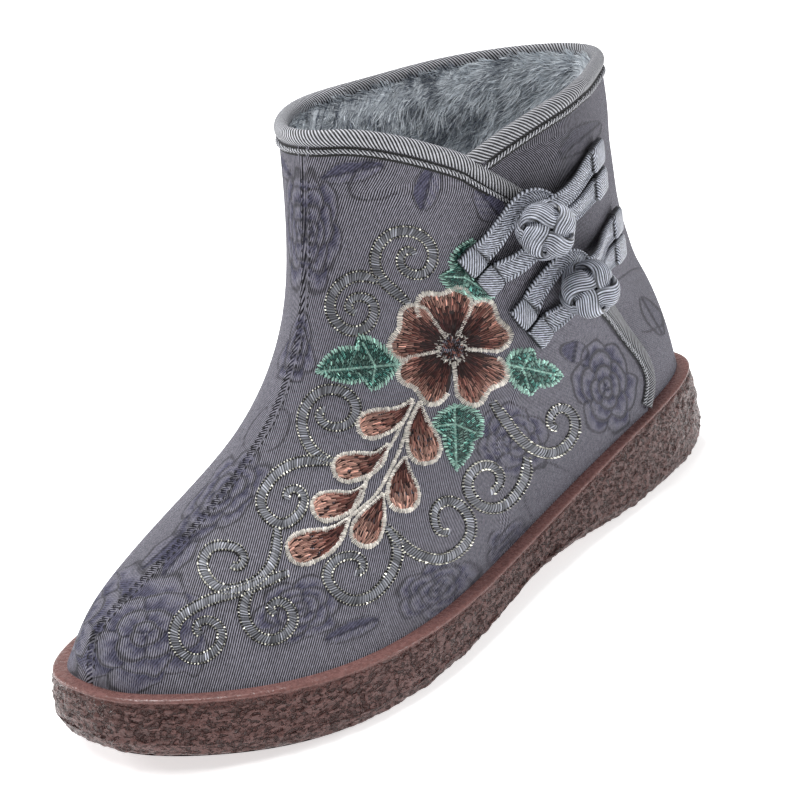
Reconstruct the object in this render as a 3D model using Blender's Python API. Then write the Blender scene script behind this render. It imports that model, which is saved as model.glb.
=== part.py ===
"""Fleece-lined cotton ankle boot for the left foot.

The frame is in metres: +X to the toe, +Y to the outer (lateral) side, +Z up,
with the heel and forefoot resting on z = 0.
"""

from collections import namedtuple
import math

import bmesh
import bpy
import numpy as np

for leftover in list(bpy.data.objects):
    bpy.data.objects.remove(leftover)

# Sole unit
SOLE_LENGTH = 0.255
SOLE_END_POWER = 2.8
LEDGE_WIDTH = 0.0045
LEDGE_DROP = 0.0003
WALL_TOP_DROP = 0.0012
BOTTOM_ROUND = 0.0068
TOE_SPRING = 0.0080
TOE_SPRING_START = 0.50
ARCH_LIFT = 0.0033
ARCH_CENTRE = -0.12
ARCH_REACH = 0.40
HEEL_LIFT = 0.0020
HEEL_LIFT_START = 0.80
FLARE_SIDE = 0.0007
FLARE_TOE = 0.0012
FLARE_HEEL = 0.0020
SOLE_COLUMNS = 72

# Upper
WALL = 0.0055
RIM_WALL = 0.0032
RIM_TAPER = 0.50
COLLAR_LEVEL = 5.97
COLLAR_TILT = 0.06
NOTCH_ANGLE = 66.5
NOTCH_DEPTH = 0.47
NOTCH_FRONT_REACH = 50.0
NOTCH_BACK_REACH = 36.0
NOTCH_FRONT_POWER = 2.1
NOTCH_BACK_POWER = 1.6
WRAP_STEP = 0.0015
WRAP_STEP_REACH = 38.0
WRAP_EDGE_HALF = 0.35
WARP_FRONT_REACH = 100.0
WARP_BACK_REACH = 180.0
UPPER_COLUMNS = 64
UPPER_ROWS = (0.0, 0.2, 0.5, 0.8, 1.1, 1.4, 1.7, 2.05, 2.5, 3.0, 3.5, 4.0, 4.5, 4.95)
RIM_ROWS = (0.27, 0.13, 0.0)

# Insole
INSOLE_GAP = 0.0030
INSOLE_THICKNESS = 0.0045

# Bindings
TAPE_THICKNESS = 0.0015
RIM_EASE = 0.0002
WRAP_TAPE_WIDTH = 0.0050
WRAP_TAPE_GAP = 0.0004
WRAP_TAPE_TOP = 5.20
WRAP_TAPE_FOOT = 0.08
WRAP_TAPE_RINGS = 22

# Frog fastenings
BALL_RADIUS = 0.0082
BALL_HEIGHT = 0.0120
NECK_RADIUS = 0.0020
RING_RADIUS = 0.0074
STRAP_WIDTH = 0.0054
STRAP_THICKNESS = 0.0020
STRAP_END_WIDEN = 1.30
STRAP_RING_NARROW = 0.78
LOOP_END_HALF = 0.0042
LOOP_ARM_HALF = 0.0051
STRAP_SAMPLES = 28
LOOP_REST = 0.0008
LOOP_OVER_TAPE = 0.0037
TAIL_OVER_RING = 0.0060
BALL_SIDES = 14
BALL_RINGS = 9

# Clearance between pieces that touch in life
SEAT_GAP = 0.0003
UPPER_SEAT = 0.0005

# Sideways shift that puts the middle of the whole boot at y = 0
FRAME_SHIFT = np.array([0.0, -0.00606, 0.0])

SoleStation = namedtuple("SoleStation", "station lateral medial top")
SOLE_STATIONS = (
    SoleStation(-1.00, 0.0360, 0.0320, 0.0288),
    SoleStation(-0.62, 0.0350, 0.0335, 0.0265),
    SoleStation(-0.10, 0.0385, 0.0300, 0.0172),
    SoleStation(0.42, 0.0520, 0.0440, 0.0170),
    SoleStation(0.80, 0.0485, 0.0445, 0.0210),
    SoleStation(1.00, 0.0375, 0.0395, 0.0253),
)

UpperLevel = namedtuple(
    "UpperLevel",
    "front_x front_z back_x back_z lat_heel lat_waist lat_ball med_heel med_waist med_ball",
)
UPPER_LEVELS = (
    UpperLevel(0.1185, 0.0355, -0.1203, 0.0435, 0.0315, 0.0340, 0.0400, 0.0310, 0.0295, 0.0350),
    UpperLevel(0.1040, 0.0423, -0.1140, 0.0595, 0.0305, 0.0340, 0.0335, 0.0310, 0.0300, 0.0340),
    UpperLevel(0.0660, 0.0570, -0.1055, 0.0750, 0.0310, 0.0345, 0.0290, 0.0320, 0.0312, 0.0325),
    UpperLevel(0.0375, 0.0805, -0.0985, 0.0950, 0.0315, 0.0355, 0.0285, 0.0330, 0.0328, 0.0330),
    UpperLevel(0.0265, 0.1080, -0.0970, 0.1186, 0.0325, 0.0375, 0.0310, 0.0340, 0.0345, 0.0340),
    UpperLevel(0.0209, 0.1380, -0.0970, 0.1374, 0.0310, 0.0400, 0.0350, 0.0365, 0.0365, 0.0388),
)
RING_POWER_LOW = 2.41
RING_POWER_STEP = 0.04

WrapPoint = namedtuple("WrapPoint", "level angle")
WRAP_LINE = (
    WrapPoint(0.00, 122.5),
    WrapPoint(0.40, 127.5),
    WrapPoint(1.20, 130.0),
    WrapPoint(1.90, 126.5),
    WrapPoint(2.75, 119.0),
    WrapPoint(4.05, 98.0),
    WrapPoint(5.00, 83.5),
    WrapPoint(5.52, 66.5),
)

# Angle and level of the ball's foot, then lengths in metres, tilts in degrees and, measured
# from the ball along the frog, where the loop climbs over the tape and the tail comes down
Frog = namedtuple(
    "Frog",
    "name angle level loop_length loop_tilt tail_length tail_tilt tail_spread"
    " climb_from climb_to down_from down_to neck",
)
FROGS = (
    Frog("upper_frog", 82.5, 4.75, 0.0213, 29.2, 0.0355, 3.7, 0.0044, -0.018, -0.009, 0.012, 0.020, 0.0038),
    Frog("lower_frog", 93.0, 3.85, 0.0179, 26.9, 0.0414, -4.7, 0.0041, -0.014, 0.007, 0.014, 0.024, 0.0026),
)

COLOURS = {
    "outsole": (0.105, 0.055, 0.048),
    "upper": (0.165, 0.160, 0.195),
    "insole": (0.300, 0.340, 0.380),
    "collar_binding": (0.200, 0.205, 0.240),
    "wrap_binding": (0.200, 0.205, 0.240),
    "upper_frog_loop": (0.260, 0.275, 0.330),
    "upper_frog_knot": (0.260, 0.275, 0.330),
    "lower_frog_loop": (0.260, 0.275, 0.330),
    "lower_frog_knot": (0.260, 0.275, 0.330),
}


def natural_spline(knots, values, places):
    """Natural cubic spline through values at the knots, read at the places."""
    knots = np.asarray(knots, float)
    values = np.asarray(values, float)
    places = np.asarray(places, float)
    gaps = np.diff(knots)
    count = len(knots)
    system = np.eye(count)
    right = np.zeros_like(values)
    slopes = np.diff(values, axis=0) / gaps.reshape((-1,) + (1,) * (values.ndim - 1))
    for i in range(1, count - 1):
        system[i, i - 1:i + 2] = gaps[i - 1], 2 * (gaps[i - 1] + gaps[i]), gaps[i]
        right[i] = 6 * (slopes[i] - slopes[i - 1])
    bends = np.linalg.solve(system, right.reshape(count, -1)).reshape(values.shape)
    cell = np.clip(np.searchsorted(knots, places) - 1, 0, count - 2)
    shape = places.shape + (1,) * (values.ndim - 1)
    gap = gaps[cell].reshape(shape)
    a = (knots[cell + 1].reshape(shape) - places.reshape(shape)) / gap
    b = 1 - a
    bend = ((a ** 3 - a) * bends[cell] + (b ** 3 - b) * bends[cell + 1]) * gap ** 2 / 6
    return a * values[cell] + b * values[cell + 1] + bend


def column(table, name):
    """One named column of a table as an array."""
    return np.array([getattr(row, name) for row in table])


STATIONS = column(SOLE_STATIONS, "station")


def rounded_outline(angle, back, front, lateral, medial, power):
    """Superellipse ends at the two x limits, with side widths splined over the stations."""
    cosine = np.cos(angle)
    sine = np.sin(angle)
    station = np.sign(cosine) * np.abs(cosine) ** (2 / power)
    reach = np.abs(sine) ** (2 / power)
    width = np.where(
        sine >= 0,
        natural_spline(STATIONS, lateral, station),
        -natural_spline(STATIONS, medial, station),
    )
    return (front + back) / 2 + (front - back) / 2 * station, width * reach, station


def sole_top(x):
    """Height of the sole's upper face at a place along the length."""
    place = np.clip(x / (SOLE_LENGTH / 2), -1, 1)
    return natural_spline(STATIONS, column(SOLE_STATIONS, "top"), place)


def sole_bottom(x):
    """Height of the tread: flat at heel and forefoot, lifted at arch, toe and heel end."""
    place = x / (SOLE_LENGTH / 2)
    toe = np.clip((place - TOE_SPRING_START) / (1 - TOE_SPRING_START), 0, 1)
    arch = np.clip((place - ARCH_CENTRE) / ARCH_REACH, -1, 1)
    heel = np.clip((-place - HEEL_LIFT_START) / (1 - HEEL_LIFT_START), 0, 1)
    rise = np.where(np.abs(arch) < 1, np.cos(arch * math.pi / 2) ** 2, 0.0)
    return TOE_SPRING * toe ** 2 + ARCH_LIFT * rise + HEEL_LIFT * heel ** 2


def sole_outline(angle, inset, flare=0.0):
    """Outline of the sole drawn in by an inset plus a share of the wall's flare."""
    sides = column(SOLE_STATIONS, "lateral"), column(SOLE_STATIONS, "medial")
    half = SOLE_LENGTH / 2
    x, y, station = rounded_outline(angle, -half, half, *sides, SOLE_END_POWER)
    ahead = rounded_outline(angle + 1e-4, -half, half, *sides, SOLE_END_POWER)
    behind = rounded_outline(angle - 1e-4, -half, half, *sides, SOLE_END_POWER)
    dx = ahead[0] - behind[0]
    dy = ahead[1] - behind[1]
    length = np.hypot(dx, dy)
    to_toe = np.clip(station, 0, 1) ** 4
    to_heel = np.clip(-station, 0, 1) ** 3
    lean = FLARE_SIDE + (FLARE_TOE - FLARE_SIDE) * to_toe + (FLARE_HEEL - FLARE_SIDE) * to_heel
    total = inset + flare * lean
    return x - total * dy / length, y + total * dx / length


def wrap_angle(level):
    """Angle of the front panel's overlapping edge at a level, in degrees."""
    place = np.clip(level, 0, WRAP_LINE[-1].level)
    return natural_spline(column(WRAP_LINE, "level"), column(WRAP_LINE, "angle"), place)


def collar_level(angle):
    """Level of the collar edge: nearly flat, with a soft notch where the panels cross."""
    degrees = (np.degrees(angle) + 180) % 360 - 180
    away = degrees - NOTCH_ANGLE
    front = np.clip(1 + away / NOTCH_FRONT_REACH, 0, 1) ** NOTCH_FRONT_POWER
    back = np.clip(1 - away / NOTCH_BACK_REACH, 0, 1) ** NOTCH_BACK_POWER
    drop = np.where(away < 0, front, back)
    return COLLAR_LEVEL + COLLAR_TILT * np.cos(angle) - NOTCH_DEPTH * drop


def smooth_surface(angle, level):
    """Outside of the upper before the overlap: sections splined from feather edge to collar."""
    x, y = sole_outline(angle, LEDGE_WIDTH, 1.0)
    rings = [np.stack([x, y, sole_top(x) + UPPER_SEAT], axis=-1)]
    for index, row in enumerate(UPPER_LEVELS):
        lateral = np.array([0.92, 1, 0, 0, 0, 0]) * row.lat_heel
        lateral += np.array([0, 0, 1, 0, 0, 0]) * row.lat_waist
        lateral += np.array([0, 0, 0, 1, 0.86, 0.75]) * row.lat_ball
        medial = np.array([0.92, 1, 0, 0, 0, 0]) * row.med_heel
        medial += np.array([0, 0, 1, 0, 0, 0]) * row.med_waist
        medial += np.array([0, 0, 0, 1, 0.86, 0.75]) * row.med_ball
        power = RING_POWER_LOW - RING_POWER_STEP * index
        x, y, station = rounded_outline(angle, row.back_x, row.front_x, lateral, medial, power)
        z = row.back_z + (row.front_z - row.back_z) * (station + 1) / 2
        rings.append(np.stack([x, y, z], axis=-1))
    rings = np.array(rings)
    shares = natural_spline(np.arange(len(rings)), np.eye(len(rings)), level)
    return np.einsum("...k,k...d->...d", shares, rings)


def surface_normal(angle, level):
    """Outward unit normal of the smooth surface."""
    step = 1e-3
    around = smooth_surface(angle + step, level) - smooth_surface(angle - step, level)
    along = smooth_surface(angle, level + step) - smooth_surface(angle, level - step)
    normal = np.cross(around, along)
    return normal / np.linalg.norm(normal, axis=-1, keepdims=True)


def overlap_height(angle, level):
    """Height of the front panel over the back quarter, greatest along its edge."""
    degrees = (np.degrees(angle) + 180) % 360 - 180
    ahead = wrap_angle(level) - degrees
    share = np.where(ahead > 0, np.clip(1 - ahead / WRAP_STEP_REACH, 0, 1) ** 2, 0.0)
    fade = np.clip((WRAP_LINE[-1].level - RIM_ROWS[0] - level) / 0.5, 0, 1)
    return WRAP_STEP * share * fade * fade * (3 - 2 * fade)


def outer_surface(angle, level):
    """Outside of the upper with the front panel's overlap."""
    lift = overlap_height(angle, level)[..., None]
    return smooth_surface(angle, level) + lift * surface_normal(angle, level)


def inner_surface(angle, level):
    """Inside of the upper, a wall thickness in from the smooth surface."""
    below = np.clip((collar_level(angle) - level) / RIM_TAPER, 0, 1)
    wall = RIM_WALL + (WALL - RIM_WALL) * below * below * (3 - 2 * below)
    normal = surface_normal(angle, level)
    foot = np.clip(1 - level / 0.5, 0, 1)[..., None]
    flat = normal * np.array([1, 1, 0])
    flat = flat / np.linalg.norm(flat, axis=-1, keepdims=True)
    normal = normal * (1 - foot) + flat * foot
    normal = normal / np.linalg.norm(normal, axis=-1, keepdims=True)
    points = smooth_surface(angle, level) - wall[..., None] * normal
    seated = sole_top(points[..., 0]) + UPPER_SEAT
    points[..., 2] = np.where(level <= 0, seated, points[..., 2])
    return points


def upper_grid():
    """Angles and levels of the upper's grid, its columns bent to follow the overlap edge."""
    spread = np.arange(UPPER_COLUMNS) * 360 / UPPER_COLUMNS + NOTCH_ANGLE
    edge = [NOTCH_ANGLE - WRAP_EDGE_HALF, NOTCH_ANGLE + WRAP_EDGE_HALF]
    base = np.concatenate([edge, spread[1:]])
    away = (base - NOTCH_ANGLE + 180) % 360 - 180
    front = np.clip(1 + away / WARP_FRONT_REACH, 0, 1)
    back = np.clip(1 - away / WARP_BACK_REACH, 0, 1)
    share = np.where(away < 0, front, back)
    share = np.where(np.abs(away) <= 1, 1.0, np.sin(share * math.pi / 2) ** 2)
    rim = collar_level(np.radians(base))
    low = np.array(UPPER_ROWS) / (UPPER_ROWS[-1] + 0.35)
    rows = [low_row * (rim - RIM_ROWS[0]) for low_row in low]
    rows += [rim - drop for drop in RIM_ROWS]
    level = np.array(rows)
    angle = base[None, :] + share[None, :] * (wrap_angle(level) - NOTCH_ANGLE)
    return np.radians(angle), level


def loop_faces(rings, columns, closed):
    """Quads of a grid of rings, closed round each ring and, if asked, from last ring to first."""
    faces = []
    for row in range(rings if closed else rings - 1):
        after = (row + 1) % rings
        for place in range(columns):
            beside = (place + 1) % columns
            corners = (row, place), (row, beside), (after, beside), (after, place)
            faces.append([r * columns + c for r, c in corners])
    return faces


def crosswise_cap(start, columns):
    """Faces that close a symmetric ring with strips from one side straight to the other."""
    half = columns // 2
    faces = [[start, start + 1, start + columns - 1]]
    for place in range(1, half - 1):
        opposite = start + columns - place
        faces.append([start + place, start + place + 1, opposite - 1, opposite])
    faces.append([start + half - 1, start + half, start + half + 1])
    return faces


def add_solid(name, vertices, faces):
    """Make a closed mesh object of that name, faces turned outward, with its own material."""
    mesh = bpy.data.meshes.new(name)
    placed = np.asarray(vertices).reshape(-1, 3) + FRAME_SHIFT
    mesh.from_pydata(placed.tolist(), [], faces)
    work = bmesh.new()
    work.from_mesh(mesh)
    bmesh.ops.recalc_face_normals(work, faces=work.faces)
    bmesh.ops.triangulate(work, faces=work.faces)
    work.to_mesh(mesh)
    work.free()
    material = bpy.data.materials.new(name)
    material.use_nodes = True
    shader = material.node_tree.nodes["Principled BSDF"]
    shader.inputs["Base Color"].default_value = (*COLOURS[name], 1.0)
    shader.inputs["Roughness"].default_value = 0.8
    mesh.materials.append(material)
    solid = bpy.data.objects.new(name, mesh)
    bpy.context.scene.collection.objects.link(solid)
    return solid


def make_outsole():
    """Sole unit: rings from the ledge out over the flared wall and under the rounded edge."""
    angle = np.arange(SOLE_COLUMNS) * 2 * math.pi / SOLE_COLUMNS
    profile = (
        # inset, share of flare, share of top height, share of tread height, extra height
        (LEDGE_WIDTH - 0.0010, 1.00, 1.0, 0.0, 0.0),
        (0.0005, 1.00, 1.0, 0.0, -LEDGE_DROP),
        (0.0, 1.00, 1.0, 0.0, -WALL_TOP_DROP),
        (0.0, 0.35, 0.6, 0.4, 0.0),
        (0.0, 0.00, 0.3, 0.7, 0.0),
        (0.0003, 0.00, 0.0, 1.0, 0.75 * BOTTOM_ROUND),
        (0.30 * BOTTOM_ROUND, 0.00, 0.0, 1.0, 0.27 * BOTTOM_ROUND),
        (0.85 * BOTTOM_ROUND, 0.00, 0.0, 1.0, 0.0),
    )
    rings = []
    for inset, flare, of_top, of_bottom, extra in profile:
        x, y = sole_outline(angle, inset, flare)
        z = of_top * sole_top(x) + of_bottom * sole_bottom(x) + extra
        rings.append(np.stack([x, y, z], axis=-1))
    faces = loop_faces(len(rings), SOLE_COLUMNS, False)
    faces += crosswise_cap(0, SOLE_COLUMNS)
    faces += crosswise_cap((len(rings) - 1) * SOLE_COLUMNS, SOLE_COLUMNS)
    return add_solid("outsole", rings, faces)


def make_insole():
    """Footbed: the feather outline drawn in past the wall, following the sole's top."""
    angle = np.arange(SOLE_COLUMNS) * 2 * math.pi / SOLE_COLUMNS
    rings = []
    inset = LEDGE_WIDTH + WALL + INSOLE_GAP
    for shrink, lift in ((0.0, SEAT_GAP), (0.0, INSOLE_THICKNESS - 0.001), (0.001, INSOLE_THICKNESS)):
        x, y = sole_outline(angle, inset + shrink, 1.0)
        rings.append(np.stack([x, y, sole_top(x) + lift], axis=-1))
    faces = loop_faces(len(rings), SOLE_COLUMNS, False)
    faces += crosswise_cap(0, SOLE_COLUMNS)
    faces += crosswise_cap((len(rings) - 1) * SOLE_COLUMNS, SOLE_COLUMNS)
    return add_solid("insole", rings, faces)


def make_upper():
    """Hollow upper: outside up to the collar, over the rim, and back down the inside."""
    angle, level = upper_grid()
    outside = outer_surface(angle, level)
    inside = inner_surface(angle, level)
    rings = np.concatenate([outside, inside[::-1]])
    faces = loop_faces(len(rings), rings.shape[1], True)
    return add_solid("upper", rings, faces)


def make_collar_binding():
    """Folded tape over the collar edge: an inverted U that follows both faces of the wall."""
    angle, level = upper_grid()
    rows = slice(len(UPPER_ROWS), None)
    angle = angle[rows]
    level = level[rows]
    outside = outer_surface(angle, level)
    inside = inner_surface(angle, level)
    out = surface_normal(angle, level)
    up = outside[2] - outside[1]
    up = up / np.linalg.norm(up, axis=-1, keepdims=True)
    near = SEAT_GAP + RIM_EASE
    far = near + TAPE_THICKNESS
    middle = (outside[2] + inside[2]) / 2
    profile = (
        outside[0] + far * out[0],
        outside[1] + far * out[1],
        outside[2] + far * out[2],
        outside[2] + 0.7 * far * out[2] + 0.8 * far * up,
        middle + 1.25 * far * up,
        inside[2] - 0.7 * far * out[2] + 0.8 * far * up,
        inside[2] - far * out[2],
        inside[1] - far * out[1],
        inside[0] - far * out[0],
        inside[0] - near * out[0],
        inside[1] - near * out[1],
        inside[2] - near * out[2] + near * up,
        outside[2] + near * out[2] + near * up,
        outside[1] + near * out[1],
        outside[0] + near * out[0],
    )
    rings = np.stack(profile, axis=1)
    faces = loop_faces(rings.shape[0], rings.shape[1], True)
    return add_solid("collar_binding", rings, faces)


def capped_tube(rings):
    """Faces of a tube of rings with its two ends closed."""
    count, sides = rings.shape[:2]
    faces = loop_faces(count, sides, False)
    faces.append(list(range(sides)))
    faces.append([(count - 1) * sides + side for side in reversed(range(sides))])
    return faces


def make_wrap_binding():
    """Half-round tape on the front panel along its overlapping edge, down to the sole."""
    level = np.linspace(WRAP_TAPE_TOP, WRAP_TAPE_FOOT, WRAP_TAPE_RINGS)
    edge = np.radians(wrap_angle(level) - WRAP_EDGE_HALF)
    line = outer_surface(edge, level)
    along = np.gradient(line, axis=0)
    along = along / np.linalg.norm(along, axis=-1, keepdims=True)
    around = smooth_surface(edge + 1e-3, level) - smooth_surface(edge - 1e-3, level)
    speed = np.linalg.norm(around, axis=-1) / 2e-3
    lean = np.abs(np.sum(along * around, axis=-1)) / np.linalg.norm(around, axis=-1)
    per_width = 1 / (speed * np.sqrt(1 - lean ** 2))
    profile = (
        # share of the width, height
        (0.04, WRAP_TAPE_GAP),
        (0.35, WRAP_TAPE_GAP),
        (0.65, WRAP_TAPE_GAP),
        (1.00, WRAP_TAPE_GAP),
        (1.00, WRAP_TAPE_GAP + 0.4 * TAPE_THICKNESS),
        (0.70, WRAP_TAPE_GAP + TAPE_THICKNESS),
        (0.30, WRAP_TAPE_GAP + TAPE_THICKNESS),
        (0.04, WRAP_TAPE_GAP + 0.4 * TAPE_THICKNESS),
    )
    sides = []
    for share, height in profile:
        angle = edge - share * WRAP_TAPE_WIDTH * per_width
        sides.append(outer_surface(angle, level) + height * surface_normal(angle, level))
    rings = np.stack(sides, axis=1)
    return add_solid("wrap_binding", rings, capped_tube(rings))


def lay_flat(frog, across, above):
    """Angles and levels whose points lie at flat distances back and up from a frog's foot."""
    start = np.radians(frog.angle), frog.level
    foot = smooth_surface(*np.array(start))
    out = surface_normal(*np.array(start))
    back = smooth_surface(start[0] + 1e-3, np.array(frog.level)) - foot
    back = back - out * (back @ out)
    back = back / np.linalg.norm(back)
    up = np.cross(out, back)
    angle = np.full(across.shape, start[0])
    level = np.full(across.shape, start[1])
    for _ in range(12):
        here = smooth_surface(angle, level) - foot
        by_angle = (smooth_surface(angle + 1e-3, level) - foot - here) / 1e-3
        by_level = (smooth_surface(angle, level + 1e-3) - foot - here) / 1e-3
        miss_back = across - here @ back
        miss_up = above - here @ up
        a, b, c, d = by_angle @ back, by_level @ back, by_angle @ up, by_level @ up
        scale = a * d - b * c
        angle = angle + np.clip((miss_back * d - miss_up * b) / scale, -0.3, 0.3)
        level = level + np.clip((miss_up * a - miss_back * c) / scale, -0.5, 0.5)
    return angle, level


def strap(frog, points, tilt, heights, widths):
    """Flat cord along a splined path on the upper, its section square to the path."""
    places = np.linspace(0, 1, len(points))
    samples = np.linspace(0, 1, STRAP_SAMPLES)
    path = natural_spline(places, np.array(points), samples)
    turn = math.radians(tilt)
    across = path[:, 0] * math.cos(turn) - path[:, 1] * math.sin(turn)
    above = path[:, 0] * math.sin(turn) + path[:, 1] * math.cos(turn)
    angle, level = lay_flat(frog, across, above)
    out = surface_normal(angle, level)
    middle = smooth_surface(angle, level)
    middle = middle + (heights(path[:, 0]) + STRAP_THICKNESS / 2)[:, None] * out
    along = np.gradient(middle, axis=0)
    side = np.cross(out, along)
    side = side / np.linalg.norm(side, axis=-1, keepdims=True)
    width = np.interp(samples, widths[0], widths[1])[:, None] * STRAP_WIDTH
    quarter = ((0.5, 0.2), (0.36, 0.5))
    section = [(-w, -h) for w, h in quarter] + [(w, -h) for w, h in reversed(quarter)]
    section += list(quarter) + [(-w, h) for w, h in reversed(quarter)]
    sides = [middle + w * width * side + h * STRAP_THICKNESS * out for w, h in section]
    return np.stack(sides, axis=1)


def ease(share):
    """Smooth step from 0 to 1."""
    share = np.clip(share, 0, 1)
    return share * share * (3 - 2 * share)


def make_frog_loop(frog):
    """Doubled cord: two arms with wide square ends and a ring round the ball's neck."""
    length = frog.loop_length
    arm = [(-length, LOOP_END_HALF), (-length + 0.0055, LOOP_END_HALF), (-length / 2, LOOP_ARM_HALF)]
    ring = [(RING_RADIUS * math.cos(t), RING_RADIUS * math.sin(t)) for t in (2.1, 1.05)]
    half = arm + ring
    points = half + [(RING_RADIUS, 0.0)] + [(a, -b) for a, b in reversed(half)]
    places = (0, 0.10, 0.18, 0.34)
    shares = (STRAP_END_WIDEN, STRAP_END_WIDEN, 1, STRAP_RING_NARROW)
    widths = (*places, *(1 - p for p in reversed(places))), (*shares, *reversed(shares))

    def heights(a):
        climb = ease((a - frog.climb_from) / (frog.climb_to - frog.climb_from))
        return LOOP_REST + (LOOP_OVER_TAPE - LOOP_REST) * climb

    rings = strap(frog, points, frog.loop_tilt, heights, widths)
    return add_solid(frog.name + "_loop", rings, capped_tube(rings))


def make_frog_knot(frog):
    """Ball button on a short neck, joined to a two-armed tail that comes down to the quarter."""
    length = frog.tail_length
    spread = frog.tail_spread
    half = [(length, spread), (length - 0.006, spread), (0.016, 0.0040), (0.009, 0.0030), (0.0045, 0.0022)]
    points = half + [(0.0028, 0.0)] + [(a, -b) for a, b in reversed(half)]
    places = (0, 0.10, 0.16, 0.40)
    shares = (STRAP_END_WIDEN, STRAP_END_WIDEN, 1, 0.75)
    widths = (*places, 0.5, *(1 - p for p in reversed(places))), (*shares, 0.36, *reversed(shares))

    def heights(a):
        down = ease((a - frog.down_from) / (frog.down_to - frog.down_from))
        return TAIL_OVER_RING + (LOOP_REST - TAIL_OVER_RING) * down

    rings = strap(frog, points, frog.tail_tilt, heights, widths)
    tail = add_solid(frog.name + "_knot", rings, capped_tube(rings))

    turn = np.linspace(math.asin(NECK_RADIUS / BALL_RADIUS) - math.pi / 2, math.pi / 2, BALL_RINGS)[:-1]
    lathe = [(NECK_RADIUS, frog.neck)]
    lathe += [(BALL_RADIUS * math.cos(t), BALL_HEIGHT + BALL_RADIUS * math.sin(t)) for t in turn]
    start = np.array(math.radians(frog.angle)), np.array(frog.level)
    foot = smooth_surface(*start)
    out = surface_normal(*start)
    side = np.cross(out, [0, 0, 1])
    side = side / np.linalg.norm(side)
    up = np.cross(side, out)
    spin = np.arange(BALL_SIDES) * 2 * math.pi / BALL_SIDES
    round_dir = np.cos(spin)[:, None] * side + np.sin(spin)[:, None] * up
    rings = np.array([foot + h * out + r * round_dir for r, h in lathe])
    ball_faces = loop_faces(len(rings), BALL_SIDES, False)
    last = (len(rings) - 1) * BALL_SIDES
    ball_faces.append(list(range(BALL_SIDES)))
    ball_faces.append([last + side_index for side_index in range(BALL_SIDES)])
    ball = add_solid(frog.name + "_knot", rings, ball_faces)
    ball.name = frog.name + "_ball_tool"
    ball.hide_render = True
    ball.display_type = "WIRE"
    join = tail.modifiers.new("join ball", "BOOLEAN")
    join.operation = "UNION"
    join.solver = "EXACT"
    join.object = ball
    return tail


make_outsole()
make_upper()
make_insole()
make_collar_binding()
make_wrap_binding()
for fastening in FROGS:
    make_frog_loop(fastening)
    make_frog_knot(fastening)
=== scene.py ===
"""Fleece-lined cotton boot for the left foot: cloth, fleece, cords, embroidery and sole.

The frame is in metres: +X to the toe, +Y to the outer (lateral) side, +Z up. Flat drawings
(embroidery and woven flowers) are charted on an 800 by 800 sheet that faces the main view.
"""

from collections import namedtuple
from functools import lru_cache
import math

import bpy
from mathutils import Matrix
import numpy as np

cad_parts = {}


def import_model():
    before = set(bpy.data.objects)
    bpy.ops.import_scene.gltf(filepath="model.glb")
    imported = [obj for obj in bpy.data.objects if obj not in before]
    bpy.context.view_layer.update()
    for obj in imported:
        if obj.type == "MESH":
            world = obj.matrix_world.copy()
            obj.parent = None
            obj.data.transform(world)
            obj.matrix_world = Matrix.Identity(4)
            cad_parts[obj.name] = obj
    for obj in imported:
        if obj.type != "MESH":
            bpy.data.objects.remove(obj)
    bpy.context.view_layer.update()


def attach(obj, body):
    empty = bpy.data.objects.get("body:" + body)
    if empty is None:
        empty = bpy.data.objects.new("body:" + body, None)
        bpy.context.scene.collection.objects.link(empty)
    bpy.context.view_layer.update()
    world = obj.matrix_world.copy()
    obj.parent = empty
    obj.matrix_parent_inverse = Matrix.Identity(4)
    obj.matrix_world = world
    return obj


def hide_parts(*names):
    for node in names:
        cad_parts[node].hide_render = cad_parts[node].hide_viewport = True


bl_info = {
    "name": "Fleece-lined cotton boot",
    "version": (1, 0, 0),
    "blender": (4, 5, 0),
    "location": "View3D > Sidebar > Boot",
    "description": "Builds the cloth, fleece, cords, embroidery and sole of a left cotton boot",
    "category": "Object",
}

# Form of the boot, as in the solid model
SOLE_LENGTH = 0.255
SOLE_END_POWER = 2.8
LEDGE_WIDTH = 0.0045
BOTTOM_ROUND = 0.0068
TOE_SPRING = 0.0080
TOE_SPRING_START = 0.50
ARCH_LIFT = 0.0033
ARCH_CENTRE = -0.12
ARCH_REACH = 0.40
HEEL_LIFT = 0.0020
HEEL_LIFT_START = 0.80
FLARE_SIDE = 0.0007
FLARE_TOE = 0.0012
FLARE_HEEL = 0.0020
UPPER_SEAT = 0.0005
COLLAR_LEVEL = 5.97
COLLAR_TILT = 0.06
NOTCH_ANGLE = 66.5
NOTCH_DEPTH = 0.47
NOTCH_FRONT_REACH = 50.0
NOTCH_BACK_REACH = 36.0
NOTCH_FRONT_POWER = 2.1
NOTCH_BACK_POWER = 1.6
WRAP_STEP = 0.0015
WRAP_STEP_REACH = 38.0
WRAP_FADE_LEVEL = 5.25
RING_POWER_LOW = 2.41
RING_POWER_STEP = 0.04
SHIFT = np.array([0.0, -0.00606, 0.0])

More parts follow.
